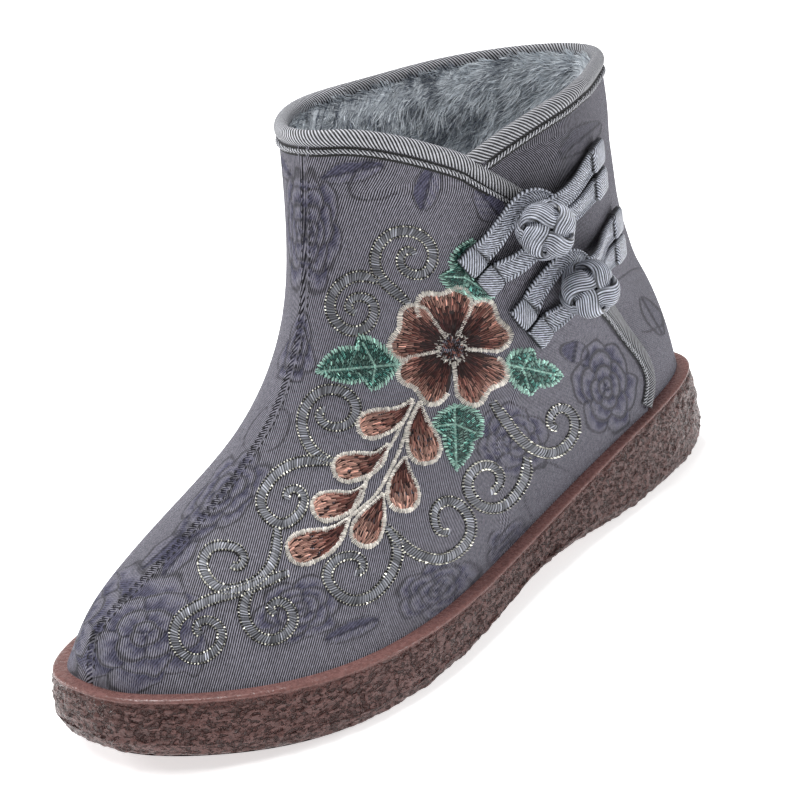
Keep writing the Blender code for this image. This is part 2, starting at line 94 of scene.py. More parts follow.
SoleStation = namedtuple("SoleStation", "station lateral medial top")
SOLE_STATIONS = (
    SoleStation(-1.00, 0.0360, 0.0320, 0.0288),
    SoleStation(-0.62, 0.0350, 0.0335, 0.0265),
    SoleStation(-0.10, 0.0385, 0.0300, 0.0172),
    SoleStation(0.42, 0.0520, 0.0440, 0.0170),
    SoleStation(0.80, 0.0485, 0.0445, 0.0210),
    SoleStation(1.00, 0.0375, 0.0395, 0.0253),
)
UpperLevel = namedtuple(
    "UpperLevel",
    "front_x front_z back_x back_z lat_heel lat_waist lat_ball med_heel med_waist med_ball",
)
UPPER_LEVELS = (
    UpperLevel(0.1185, 0.0355, -0.1203, 0.0435, 0.0315, 0.0340, 0.0400, 0.0310, 0.0295, 0.0350),
    UpperLevel(0.1040, 0.0423, -0.1140, 0.0595, 0.0305, 0.0340, 0.0335, 0.0310, 0.0300, 0.0340),
    UpperLevel(0.0660, 0.0570, -0.1055, 0.0750, 0.0310, 0.0345, 0.0290, 0.0320, 0.0312, 0.0325),
    UpperLevel(0.0375, 0.0805, -0.0985, 0.0950, 0.0315, 0.0355, 0.0285, 0.0330, 0.0328, 0.0330),
    UpperLevel(0.0265, 0.1080, -0.0970, 0.1186, 0.0325, 0.0375, 0.0310, 0.0340, 0.0345, 0.0340),
    UpperLevel(0.0209, 0.1380, -0.0970, 0.1374, 0.0310, 0.0400, 0.0350, 0.0365, 0.0365, 0.0388),
)
WrapPoint = namedtuple("WrapPoint", "level angle")
WRAP_LINE = (
    WrapPoint(0.00, 122.5),
    WrapPoint(0.40, 127.5),
    WrapPoint(1.20, 130.0),
    WrapPoint(1.90, 126.5),
    WrapPoint(2.75, 119.0),
    WrapPoint(4.05, 98.0),
    WrapPoint(5.00, 83.5),
    WrapPoint(5.52, 66.5),
)

# Main view: angles in degrees, lengths in metres, scale in sheet units per metre at the aim
VIEW_AZIMUTH = 45.3338
VIEW_ELEVATION = 20.3535
VIEW_ROLL = -8.3387
VIEW_DISTANCE = 0.555989
VIEW_SCALE = 3512.583
VIEW_HEIGHT = 0.075
VIEW_RIGHT = 0.0033159
VIEW_UP = -0.0173393
SHEET = 800.0
SENSOR = 36.0

# Frog fastenings: foot of the ball, lengths in metres, tilts in degrees, places of the climbs
Frog = namedtuple(
    "Frog",
    "name angle level loop loop_tilt tail tail_tilt spread climb_from climb_to spin",
)
FROGS = (
    Frog("upper_frog", 82.5, 4.75, 0.0213, 29.2, 0.0355, 3.7, 0.0044, -0.018, -0.009, 20),
    Frog("lower_frog", 93.0, 3.85, 0.0179, 26.9, 0.0414, -4.7, 0.0041, -0.014, 0.007, 62),
)

# Embroidery, on the sheet
Petal = namedtuple("Petal", "direction reach")
FLOWER_CENTRE = (452.0, 348.0)
PETALS = (Petal(101, 61), Petal(32, 60), Petal(-48, 62), Petal(-132, 61), Petal(160, 63))
Leaf = namedtuple("Leaf", "base tip left_shoulder left_lobe left_notch left_bulge "
                          "right_shoulder right_lobe right_notch right_bulge")
LEAVES = (
    Leaf((401, 364), (315, 372), (386, 391), (371, 391), (366, 380), (345, 384),
         (377, 333), (358, 334), (360, 347), (334, 349)),
    Leaf((462, 294), (472, 238), (442, 289), (438, 276), (450, 270), (452, 252),
         (485, 306), (494, 297), (484, 280), (486, 262)),
    Leaf((505, 364), (563, 376), (505, 345), (532, 348), (534, 360), (549, 362),
         (508, 391), (530, 396), (537, 387), (551, 386)),
    Leaf((454, 404), (456, 471), (491, 405), (482, 436), (474, 440), (470, 455),
         (432, 412), (431, 427), (442, 434), (445, 452)),
)
Bud = namedtuple("Bud", "tail_x tail_y bend_x bend_y head_x head_y width")
BUDS = (
    Bud(412, 399, 398, 415, 371, 425, 27),
    Bud(388, 444, 376, 460, 347, 468, 28),
    Bud(365, 485, 353, 499, 326, 507, 28),
    Bud(349, 518, 331, 538, 303, 549, 32),
    Bud(383, 494, 376, 511, 366, 532, 30),
    Bud(405, 457, 402, 474, 403, 496, 31),
    Bud(420, 402, 419, 424, 424, 448, 32),
)
STEM_LINES = (
    ((413, 402), (404, 420), (390, 446), (367, 480), (350, 516)),
    ((419, 402), (408, 425), (401, 446), (389, 472), (377, 493), (350, 517)),
)
SCROLLS = (
    ((408, 303), (393, 290), (380, 277), (375, 262), (379, 245), (391, 234), (405, 231), (420, 235),
     (431, 247), (432, 262), (424, 273), (412, 274), (402, 267), (401, 256), (408, 250), (415, 254)),
    ((378, 281), (360, 276), (345, 281), (332, 296), (331, 312), (338, 324), (351, 331), (365, 328),
     (374, 314), (372, 302), (362, 297), (351, 300), (349, 309), (356, 312)),
    ((332, 461), (318, 455), (306, 440), (302, 420), (308, 403), (322, 391), (337, 390), (351, 397),
     (356, 410), (350, 422), (337, 427), (325, 424), (319, 415), (325, 409)),
    ((331, 462), (300, 462), (279, 472), (266, 487), (261, 503), (268, 517), (281, 524), (295, 518),
     (303, 506), (303, 495), (294, 489), (287, 493), (287, 500)),
    ((277, 529), (275, 555), (262, 577), (240, 588), (222, 589), (207, 577), (203, 562), (210, 549),
     (226, 546), (240, 551), (244, 560), (238, 567), (231, 565)),
    ((288, 573), (262, 583), (238, 592), (213, 599), (192, 609), (178, 621), (174, 636), (180, 651),
     (194, 659), (209, 655), (220, 643), (221, 630), (211, 621), (199, 623), (196, 630), (200, 634)),
    ((250, 592), (244, 606), (246, 622), (256, 635), (271, 640), (285, 634), (293, 620), (288, 606),
     (277, 602), (270, 608), (276, 614)),
    ((389, 530), (397, 548), (394, 567), (384, 584), (367, 598), (350, 600), (334, 590), (327, 575),
     (334, 562), (348, 556), (361, 560), (362, 570), (355, 573)),
    ((386, 527), (404, 546), (424, 557), (442, 559), (458, 551), (469, 536), (469, 519), (460, 506),
     (447, 501), (436, 508), (434, 521), (440, 532), (449, 532)),
    ((526, 457), (525, 475), (516, 493), (502, 506), (487, 508), (473, 500), (467, 485), (474, 470),
     (487, 465), (498, 472), (498, 485), (491, 492)),
    ((492, 402), (505, 420), (519, 438), (535, 450), (552, 453), (566, 445), (574, 430), (572, 415),
     (561, 408), (551, 414), (551, 426), (558, 428)),
)

# Woven tone-on-tone flowers and leaves, on the sheet
LINE_WIDTH = 1.7
ROSE_RINGS = (
    # reach, petals, phase
    (0.22, 3, 0.10),
    (0.46, 4, 0.45),
    (0.72, 5, 0.20),
    (1.00, 6, 0.70),
)
Motif = namedtuple("Motif", "kind x y length width turn")
MOTIFS = (
    Motif("rose", 606, 388, 62, 96, 10),
    Motif("rose", 222, 494, 118, 62, 42),
    Motif("rose", 146, 634, 150, 112, 20),
    Motif("rose", 312, 232, 58, 118, 0),
    Motif("rose", 292, 338, 44, 90, 10),
    Motif("rose", 298, 610, 92, 66, 15),
    Motif("rose", 512, 440, 74, 78, 50),
    Motif("rose", 438, 590, 92, 56, 25),
    Motif("rose", 512, 545, 60, 42, 40),
    Motif("leaf", 428, 188, 50, 34, 75),
    Motif("leaf", 490, 205, 46, 34, -50),
    Motif("leaf", 352, 172, 70, 26, 12),
    Motif("leaf", 352, 630, 62, 24, 22),
    Motif("leaf", 575, 352, 24, 34, 80),
    Motif("leaf", 652, 316, 46, 20, -60),
    Motif("leaf", 180, 555, 60, 26, 50),
    Motif("leaf", 580, 140, 56, 26, 40),
    Motif("vine", 556, 500, 76, 60, 120),
    Motif("vine", 262, 428, 60, 50, 40),
    Motif("vine", 640, 300, 70, 60, 30),
    Motif("vine", 380, 180, 60, 40, 200),
)

# Grids, columns by rows or rows by columns, and counts
SOLE_COLUMNS = 1000
TREAD_GRID = (200, 14)
FOOTBED_GRID = (120, 30)
FRONT_GRID = (330, 285)
BACK_GRID = (340, 190)
STRAND_COUNT = 32000
STRAP_THICKNESS = 0.0015

# Heights of the embroidery stitches, and how far the upper ones lie above the cloth
LOW_STITCH = 0.0005
HIGH_STITCH = 0.0006
EDGE_STITCH = 0.0007
STITCH_LIFT = 0.0003

# Other values
WHITE = (1.0, 1.0, 1.0, 1.0)
CREPE_LUMPS = (
    # length and height in millimetres, seed, weight
    (5.2, 1.6, 1, 0.5),
    (2.9, 1.1, 2, 0.3),
    (1.7, 0.9, 4, 0.2),
)

# Soft folds of the cloth: two ends as angle and level, then width and depth in metres
Fold = namedtuple("Fold", "from_angle from_level to_angle to_level width depth")
FOLDS = (
    Fold(2, 3.55, 42, 3.05, 0.0060, -0.0007),
    Fold(6, 4.05, 34, 3.75, 0.0050, 0.0005),
    Fold(60, 2.9, 100, 2.6, 0.0070, -0.0006),
    Fold(30, 4.9, 62, 4.2, 0.0080, -0.0005),
    Fold(135, 2.9, 175, 2.5, 0.0070, -0.0006),
    Fold(120, 4.6, 165, 4.9, 0.0070, -0.0005),
)


def linear(red, green, blue):
    """Linear colour from an 8-bit display colour, by the usual power law."""
    values = (red / 255, green / 255, blue / 255)
    return tuple(((v + 0.055) / 1.055) ** 2.4 if v > 0.04045 else v / 12.92 for v in values)


def natural_spline(knots, values, places):
    """Natural cubic spline through values at the knots, read at the places."""
    knots = np.asarray(knots, float)
    values = np.asarray(values, float)
    places = np.asarray(places, float)
    gaps = np.diff(knots)
    count = len(knots)
    system = np.eye(count)
    right = np.zeros_like(values)
    slopes = np.diff(values, axis=0) / gaps.reshape((-1,) + (1,) * (values.ndim - 1))
    for i in range(1, count - 1):
        system[i, i - 1:i + 2] = gaps[i - 1], 2 * (gaps[i - 1] + gaps[i]), gaps[i]
        right[i] = 6 * (slopes[i] - slopes[i - 1])
    bends = np.linalg.solve(system, right.reshape(count, -1)).reshape(values.shape)
    cell = np.clip(np.searchsorted(knots, places) - 1, 0, count - 2)
    shape = places.shape + (1,) * (values.ndim - 1)
    gap = gaps[cell].reshape(shape)
    a = (knots[cell + 1].reshape(shape) - places.reshape(shape)) / gap
    b = 1 - a
    bend = ((a ** 3 - a) * bends[cell] + (b ** 3 - b) * bends[cell + 1]) * gap ** 2 / 6
    return a * values[cell] + b * values[cell + 1] + bend


def column(table, name):
    """One named column of a table as an array."""
    return np.array([getattr(row, name) for row in table])


def ease(share):
    """Smooth step from 0 to 1."""
    share = np.clip(share, 0, 1)
    return share * share * (3 - 2 * share)


def unit(vectors):
    """Vectors scaled to length one."""
    return vectors / np.maximum(np.linalg.norm(vectors, axis=-1, keepdims=True), 1e-12)


def power(values, exponent):
    """Absolute values raised to a power, with the sign kept."""
    return np.sign(values) * np.abs(values) ** exponent


def run_lengths(points):
    """Distance along a polyline from its first point to each of its points."""
    return np.concatenate([[0], np.linalg.norm(np.diff(points, axis=0), axis=-1).cumsum()])


def between(places, knots, table):
    """Rows of a table read at places between its knots, column by column."""
    return np.stack([np.interp(places, knots, table[:, k]) for k in range(table.shape[1])], axis=-1)


def with_ends(values):
    """Values with the first and the last repeated, as on a skin with closed ends."""
    return np.concatenate([values[:1], values, values[-1:]])


def beside(along):
    """Flat directions turned a quarter to the side."""
    return np.stack([along[:, 1], -along[:, 0]], axis=-1)


STATIONS = column(SOLE_STATIONS, "station")


def rounded_outline(angle, back, front, lateral, medial, roundness):
    """Superellipse ends at the two x limits, with side widths splined over the stations."""
    cosine = np.cos(angle)
    sine = np.sin(angle)
    station = power(cosine, 2 / roundness)
    reach = np.abs(sine) ** (2 / roundness)
    both = natural_spline(STATIONS, np.stack([lateral, -medial], axis=-1), station)
    width = np.where(sine >= 0, both[..., 0], both[..., 1])
    return (front + back) / 2 + (front - back) / 2 * station, width * reach, station


def sole_top(x):
    """Height of the sole's upper face at a place along the length, splined over the stations."""
    place = np.clip(x / (SOLE_LENGTH / 2), -1, 1)
    return natural_spline(STATIONS, column(SOLE_STATIONS, "top"), place)


def sole_bottom(x):
    """Height of the tread: flat at heel and forefoot, lifted at arch, toe and heel end."""
    place = x / (SOLE_LENGTH / 2)
    toe = np.clip((place - TOE_SPRING_START) / (1 - TOE_SPRING_START), 0, 1)
    arch = np.clip((place - ARCH_CENTRE) / ARCH_REACH, -1, 1)
    heel = np.clip((-place - HEEL_LIFT_START) / (1 - HEEL_LIFT_START), 0, 1)
    rise = np.where(np.abs(arch) < 1, np.cos(arch * math.pi / 2) ** 2, 0.0)
    return TOE_SPRING * toe ** 2 + ARCH_LIFT * rise + HEEL_LIFT * heel ** 2


def sole_outline(angle, inset, flare=0.0):
    """Outline of the sole drawn in by an inset plus a share of the wall's flare."""
    sides = column(SOLE_STATIONS, "lateral"), column(SOLE_STATIONS, "medial")
    half = SOLE_LENGTH / 2
    x, y, station = rounded_outline(angle, -half, half, *sides, SOLE_END_POWER)
    ahead = rounded_outline(angle + 1e-4, -half, half, *sides, SOLE_END_POWER)
    behind = rounded_outline(angle - 1e-4, -half, half, *sides, SOLE_END_POWER)
    dx = ahead[0] - behind[0]
    dy = ahead[1] - behind[1]
    length = np.hypot(dx, dy)
    to_toe = np.clip(station, 0, 1) ** 4
    to_heel = np.clip(-station, 0, 1) ** 3
    lean = FLARE_SIDE + (FLARE_TOE - FLARE_SIDE) * to_toe + (FLARE_HEEL - FLARE_SIDE) * to_heel
    total = inset + flare * lean
    return x - total * dy / length, y + total * dx / length


def sole_strip(rows, columns, inset, flare=0.0):
    """Flat grid of points between the two sides of the sole's outline."""
    turn = np.radians(np.linspace(0.5, 179.5, rows))
    left, right = (np.stack(sole_outline(side, inset, flare), axis=-1)[:, None] for side in (turn, -turn))
    across = np.linspace(0, 1, columns)[None, :, None]
    return left * (1 - across) + right * across


def wrap_angle(level):
    """Angle of the front panel's overlapping edge at a level, in degrees, splined over its points."""
    place = np.clip(level, 0, WRAP_LINE[-1].level)
    return natural_spline(column(WRAP_LINE, "level"), column(WRAP_LINE, "angle"), place)


def collar_level(degrees):
    """Level of the collar edge: nearly flat, with a soft notch where the panels cross."""
    turned = (degrees + 180) % 360 - 180
    away = turned - NOTCH_ANGLE
    front = np.clip(1 + away / NOTCH_FRONT_REACH, 0, 1) ** NOTCH_FRONT_POWER
    back = np.clip(1 - away / NOTCH_BACK_REACH, 0, 1) ** NOTCH_BACK_POWER
    drop = np.where(away < 0, front, back)
    return COLLAR_LEVEL + COLLAR_TILT * np.cos(np.radians(degrees)) - NOTCH_DEPTH * drop


def smooth_surface(degrees, level):
    """Outside of the upper: seven sections round the foot, splined from feather edge to collar."""
    angle = np.radians(degrees)
    shares = natural_spline(np.arange(len(UPPER_LEVELS) + 1), np.eye(len(UPPER_LEVELS) + 1), level)
    x, y = sole_outline(angle, LEDGE_WIDTH, 1.0)
    points = shares[..., :1] * np.stack([x, y, sole_top(x) + UPPER_SEAT], axis=-1)
    for index, row in enumerate(UPPER_LEVELS):
        lateral, medial = (
            np.array([0.92 * heel, heel, waist, ball, 0.86 * ball, 0.75 * ball])
            for heel, waist, ball in (row[4:7], row[7:10])
        )
        roundness = RING_POWER_LOW - RING_POWER_STEP * index
        x, y, station = rounded_outline(angle, row.back_x, row.front_x, lateral, medial, roundness)
        z = row.back_z + (row.front_z - row.back_z) * (station + 1) / 2
        points = points + shares[..., index + 1:index + 2] * np.stack([x, y, z], axis=-1)
    return points


def surface_frame(degrees, level):
    """Point and outward unit normal of the smooth surface, the normal from four close neighbours."""
    around = smooth_surface(degrees + 0.05, level) - smooth_surface(degrees - 0.05, level)
    along = smooth_surface(degrees, level + 1e-3) - smooth_surface(degrees, level - 1e-3)
    return smooth_surface(degrees, level), unit(np.cross(around, along))


def overlap_height(degrees, level):
    """Height of the front panel over the back quarter, greatest along its edge."""
    ahead = wrap_angle(level) - degrees
    share = np.where(ahead > -1e-6, np.clip(1 - ahead / WRAP_STEP_REACH, 0, 1) ** 2, 0.0)
    return WRAP_STEP * share * ease((WRAP_FADE_LEVEL - level) / 0.5)


def fold_height(points):
    """Sum of the soft folds: each a bell-shaped trough or ridge along a straight line."""
    height = np.zeros(points.shape[:-1])
    for fold in FOLDS:
        start = smooth_surface(np.array(float(fold.from_angle)), np.array(fold.from_level))
        stop = smooth_surface(np.array(float(fold.to_angle)), np.array(fold.to_level))
        line = stop - start
        share = np.clip((points - start) @ line / (line @ line), 0, 1)
        away = np.linalg.norm(points - start - share[..., None] * line, axis=-1)
        height += fold.depth * np.exp(-(away / fold.width) ** 2) * np.sin(math.pi * (0.15 + 0.7 * share))
    return height


def cloth_frame(degrees, level, lapped=True):
    """Point and normal on the cloth: smooth surface raised by the overlap and the soft folds."""
    points, normal = surface_frame(degrees, level)
    lift = fold_height(points)
    if lapped:
        lift = lift + overlap_height(degrees, level)
    return points + lift[..., None] * normal, normal


def value_noise(x, y, seed, period=0):
    """Smooth noise from 0 to 1: hashed values at whole numbers, eased between, closed over a period."""
    column_index = np.floor(x)
    row_index = np.floor(y)
    a = ease(x - column_index)
    b = ease(y - row_index)

    def corner(i, j):
        i = i % period if period else i
        mixed = np.sin(i * 127.1 + j * 311.7 + seed * 74.7) * 43758.5453
        return mixed - np.floor(mixed)

    low = corner(column_index, row_index) * (1 - a) + corner(column_index + 1, row_index) * a
    high = corner(column_index, row_index + 1) * (1 - a) + corner(column_index + 1, row_index + 1) * a
    return low * (1 - b) + high * b


@lru_cache(maxsize=1)
def view_axes():
    """Unit axes of the main view, back to the viewer, right and up, and the point it aims at."""
    azimuth, elevation, roll = (math.radians(v) for v in (VIEW_AZIMUTH, VIEW_ELEVATION, VIEW_ROLL))
    back = np.array([
        math.cos(elevation) * math.cos(azimuth),
        math.cos(elevation) * math.sin(azimuth),
        math.sin(elevation),
    ])
    level_right = np.array([-math.sin(azimuth), math.cos(azimuth), 0.0])
    level_up = np.cross(back, level_right)
    right = math.cos(roll) * level_right + math.sin(roll) * level_up
    up = math.cos(roll) * level_up - math.sin(roll) * level_right
    aim = np.array([0.0, 0.0, VIEW_HEIGHT]) + VIEW_RIGHT * right + VIEW_UP * up
    return back, right, up, aim


def to_sheet(points):
    """Sheet coordinates of points: perspective view along the main view, y downward."""
    back, right, up, aim = view_axes()
    away = points - aim
    scale = VIEW_SCALE * VIEW_DISTANCE / (VIEW_DISTANCE - away @ back)
    return np.stack([SHEET / 2 + scale * (away @ right), SHEET / 2 - scale * (away @ up)], axis=-1)


CHART_STEP = 5.0
CHART_X = np.arange(140.0, 630.0, CHART_STEP)
CHART_Y = np.arange(205.0, 695.0, CHART_STEP)


def newton_step(measure, wanted, degrees, level, least=0.0):
    """Changes of angle and level that bring a flat measure of the surface nearer to a wanted one."""
    here = measure(degrees, level)
    by_angle = (measure(degrees + 0.05, level) - here) / 0.05
    by_level = (measure(degrees, level + 1e-3) - here) / 1e-3
    miss = wanted - here
    scale = by_angle[:, 0] * by_level[:, 1] - by_angle[:, 1] * by_level[:, 0]
    scale = np.where(np.abs(scale) < least, least, scale)
    turn = (miss[:, 0] * by_level[:, 1] - miss[:, 1] * by_level[:, 0]) / scale
    rise = (miss[:, 1] * by_angle[:, 0] - miss[:, 0] * by_angle[:, 1]) / scale
    return turn, rise


@lru_cache(maxsize=1)
def chart_table():
    """Angle and level of every crossing of a coarse net on the sheet, found by Newton's method."""
    degrees, level = np.meshgrid(np.arange(1.0, 130.0, 4.0), np.arange(0.05, 5.6, 0.15))
    seeds = to_sheet(smooth_surface(degrees, level)).reshape(-1, 2)
    x, y = np.meshgrid(CHART_X, CHART_Y)
    wanted = np.stack([x, y], axis=-1).reshape(-1, 2)
    near = np.argmin(((wanted[:, None] - seeds[None]) ** 2).sum(axis=-1), axis=1)
    degrees = degrees.ravel()[near]
    level = level.ravel()[near]
    for _ in range(8):
        turn, rise = newton_step(lambda a, b: to_sheet(cloth_frame(a, b)[0]), wanted, degrees, level, 1e-3)
        degrees = np.clip(degrees + np.clip(turn, -4, 4), -30, 150)
        level = np.clip(level + np.clip(rise, -0.2, 0.2), 0, 6)
    return np.stack([degrees, level], axis=-1).reshape(len(CHART_Y), len(CHART_X), 2)


def from_sheet(sheet):
    """Angle and level of sheet points, read between the four nearest crossings of the net."""
    table = chart_table()
    x = np.clip((sheet[..., 0] - CHART_X[0]) / CHART_STEP, 0, len(CHART_X) - 1.001)
    y = np.clip((sheet[..., 1] - CHART_Y[0]) / CHART_STEP, 0, len(CHART_Y) - 1.001)
    i = x.astype(int)
    j = y.astype(int)
    a = (x - i)[..., None]
    b = (y - j)[..., None]
    upper = table[j, i] * (1 - a) + table[j, i + 1] * a
    lower = table[j + 1, i] * (1 - a) + table[j + 1, i + 1] * a
    both = upper * (1 - b) + lower * b
    return both[..., 0], both[..., 1]


def grid_quads(rows, columns, count=1):
    """Corner numbers of the quads of one or several equal grids."""
    row = np.arange(rows - 1)[:, None]
    place = np.arange(columns - 1)[None, :]
    corner = row * columns + place
    quads = np.stack([corner, corner + 1, corner + columns + 1, corner + columns], axis=-1).reshape(-1, 4)
    return (quads[None] + (np.arange(count) * rows * columns)[:, None, None]).reshape(-1, 4)


def grid_lengths(points):
    """Distances in millimetres along the rows and the columns of a grid, as flat coordinates."""
    across = np.linalg.norm(np.diff(points, axis=1), axis=-1).cumsum(axis=1)
    along = np.linalg.norm(np.diff(points, axis=0), axis=-1).cumsum(axis=0)
    across = np.concatenate([np.zeros((points.shape[0], 1)), across], axis=1)
    along = np.concatenate([np.zeros((1, points.shape[1])), along], axis=0)
    return np.stack([across, along], axis=-1) * 1000


def flatten(points):
    """Flat coordinates in millimetres of a curved grid: the map of a coarse net that least changes angles."""
    rows = np.linspace(0, points.shape[0] - 1, 17).round()
    columns = np.linspace(0, points.shape[1] - 1, 25).round()
    net = points[np.ix_(rows.astype(int), columns.astype(int))].reshape(-1, 3) * 1000
    quads = grid_quads(len(rows), len(columns))
    triangles = np.concatenate([quads[:, [0, 1, 2]], quads[:, [0, 2, 3]]])
    a, b, c = (net[triangles[:, k]] for k in range(3))
    first = unit(b - a)
    second = np.cross(unit(np.cross(b - a, c - a)), first)
    b_flat = np.linalg.norm(b - a, axis=-1) + 0j
    c_flat = ((c - a) * first).sum(axis=-1) + 1j * ((c - a) * second).sum(axis=-1)
    weight = np.stack([c_flat - b_flat, -c_flat, b_flat], axis=-1)
    weight = weight / np.sqrt(np.abs(b_flat.real * c_flat.imag))[:, None]
    system = np.zeros((len(triangles), len(net)), complex)
    np.put_along_axis(system, triangles, weight, axis=1)
    system = system.conj().T @ system
    middle = len(columns) // 2
    pins = np.array([4, 12]) * len(columns) + middle
    held = np.array([0, 1j * np.linalg.norm(net[pins[1]] - net[pins[0]])])
    free = np.setdiff1d(np.arange(len(net)), pins)
    flat = np.zeros(len(net), complex)
    flat[pins] = held
    flat[free] = np.linalg.solve(system[np.ix_(free, free)], -system[np.ix_(free, pins)] @ held)
    flat = flat.reshape(len(rows), len(columns))
    both = np.stack([flat.real, flat.imag], axis=-1)
    tall = natural_spline(rows, both, np.arange(points.shape[0]))
    return natural_spline(columns, tall.swapaxes(0, 1), np.arange(points.shape[1])).swapaxes(0, 1)


def add_object(name, data):
    """New object of the data, linked to the scene."""
    made = bpy.data.objects.new(name, data)
    bpy.context.scene.collection.objects.link(made)
    return made


def add_piece(name, points, quads, material, lay=None, values=None, tint=None, nodes=()):
    """Mesh object of the points and quads, with its flat coordinates, values and thread tints."""
    mesh = bpy.data.meshes.new(name)
    placed = (np.asarray(points).reshape(-1, 3) + SHIFT).astype(np.float32)
    corners = np.ascontiguousarray(quads.ravel(), dtype=np.int32)
    mesh.vertices.add(len(placed))
    mesh.vertices.foreach_set("co", placed.ravel())
    mesh.loops.add(len(corners))
    mesh.loops.foreach_set("vertex_index", corners)
    mesh.polygons.add(len(quads))
    mesh.polygons.foreach_set("loop_start", np.arange(0, len(corners), 4, dtype=np.int32))
    mesh.polygons.foreach_set("use_smooth", np.ones(len(quads), dtype=bool))
    if lay is not None:
        flat = np.asarray(lay, np.float32).reshape(-1, 2)[corners]
        mesh.uv_layers.new(name="Lay").data.foreach_set("uv", flat.ravel())
    for key, data in (values or {}).items():
        layer = mesh.attributes.new(key, "FLOAT", "POINT")
        layer.data.foreach_set("value", np.asarray(data, np.float32).ravel())
    if tint is not None:
        full = np.concatenate([tint.reshape(-1, 3), np.ones((len(placed), 1))], axis=1)
        layer = mesh.attributes.new("tint", "FLOAT_COLOR", "POINT")
        layer.data.foreach_set("color", full.astype(np.float32).ravel())
    mesh.update(calc_edges=True)
    mesh.materials.append(material)
    piece = add_object(name, mesh)
    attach(piece, "root")
    if nodes:
        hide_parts(*nodes)
    return piece


def sweep(path, out, section, closed_ends=True):
    """Skin of a section moved along a path.

    At each path point the section's sideways share lies square to the path on the surface and
    its height share lies along the surface normal. The section is an array of path points by
    section points by (sideways, height), in metres.
    """
    along = unit(np.gradient(path, axis=0))
    side = unit(np.cross(out, along))
    above = unit(np.cross(along, side))
    skin = path[:, None] + section[..., :1] * side[:, None] + section[..., 1:] * above[:, None]
    if closed_ends:
        skin = with_ends(skin)
        skin[[0, -1]] = skin[[0, -1]].mean(axis=1, keepdims=True)
    return skin


def even_path(points, step):
    """Places along a polyline at even steps, as shares of its index, and its length."""
    run = run_lengths(points)
    count = max(int(run[-1] / step), 4)
    return np.interp(np.linspace(0, run[-1], count), run, np.arange(len(points))), run[-1]


def set_inputs(tree, node, inputs):
    """Sets a node's inputs to values or links them to sockets."""
    for key, value in inputs.items():
        if isinstance(value, bpy.types.NodeSocket):
            tree.links.new(value, node.inputs[key])
        else:
            node.inputs[key].default_value = value


def add_node(tree, kind, inputs=None, **settings):
    """Shader node with its settings, and its inputs set to values or linked to sockets."""
    node = tree.nodes.new(kind)
    for key, value in settings.items():
        setattr(node, key, value)
    set_inputs(tree, node, inputs or {})
    return node


def calc(tree, operation, *values):
    """Output of a math node."""
    return add_node(tree, "ShaderNodeMath", dict(enumerate(values)), operation=operation).outputs[0]


def mix_colours(tree, share, first, second):
    """Output of a mix of two colours, each a socket or three values."""
    both = [c if isinstance(c, bpy.types.NodeSocket) else (*c, 1.0) for c in (first, second)]
    return add_node(tree, "ShaderNodeMix", {0: share, 6: both[0], 7: both[1]}, data_type="RGBA").outputs[2]


def ramp(tree, value, low, high, first=0.0, last=1.0, **settings):
    """Output of a map range node."""
    inputs = {0: value, 1: low, 2: high, 3: first, 4: last}
    return add_node(tree, "ShaderNodeMapRange", inputs, **settings).outputs[0]


def new_group(name, inputs, outputs):
    """Empty shader node group with named sockets, and its input and output nodes."""
    tree = bpy.data.node_groups.get(name)
    if tree:
        return tree, None, None
    tree = bpy.data.node_groups.new(name, "ShaderNodeTree")
    for key, (kind, value) in inputs.items():
        socket = tree.interface.new_socket(key, in_out="INPUT", socket_type=kind)
        if value is not None:
            socket.default_value = value
    for key, kind in outputs.items():
        tree.interface.new_socket(key, in_out="OUTPUT", socket_type=kind)
    return tree, tree.nodes.new("NodeGroupInput"), tree.nodes.new("NodeGroupOutput")


def twill_group():
    """Slanted ridges over flat coordinates, with uneven threads."""
    tree, given, result = new_group(
        "Twill ridges",
        {
            "Lay": ("NodeSocketVector", None),
            "Period": ("NodeSocketFloat", 0.6),
            "Turn": ("NodeSocketFloat", 0.8),
            "Contrast": ("NodeSocketFloat", 0.4),
            "Unevenness": ("NodeSocketFloat", 0.5),
        },
        {"Height": "NodeSocketFloat"},
    )
    if given is None:
        return tree
    parts = add_node(tree, "ShaderNodeSeparateXYZ", {0: given.outputs["Lay"]})
    x, y = parts.outputs["X"], parts.outputs["Y"]
    cosine = calc(tree, "COSINE", given.outputs["Turn"])
    sine = calc(tree, "SINE", given.outputs["Turn"])
    across = calc(tree, "ADD", calc(tree, "MULTIPLY", x, cosine), calc(tree, "MULTIPLY", y, sine))
    along = calc(tree, "SUBTRACT", calc(tree, "MULTIPLY", y, cosine), calc(tree, "MULTIPLY", x, sine))
    across = calc(tree, "DIVIDE", across, given.outputs["Period"])
    along = calc(tree, "DIVIDE", along, given.outputs["Period"])
    thread = add_node(tree, "ShaderNodeCombineXYZ", {0: across, 1: calc(tree, "MULTIPLY", along, 0.4)})
    noise = add_node(
        tree, "ShaderNodeTexNoise",
        {"Vector": thread.outputs[0], "Scale": 1.1, "Detail": 2.0, "Roughness": 0.7},
    )
    centred = calc(tree, "SUBTRACT", noise.outputs[0], 0.5)
    centred = calc(tree, "MULTIPLY", centred, given.outputs["Unevenness"])
    wave = calc(tree, "SINE", calc(tree, "MULTIPLY", across, 2 * math.pi))
    height = calc(tree, "ADD", calc(tree, "MULTIPLY_ADD", wave, given.outputs["Contrast"], 0.5), centred)
    height = add_node(tree, "ShaderNodeClamp", {0: height}).outputs[0]
    tree.links.new(height, result.inputs["Height"])
    return tree


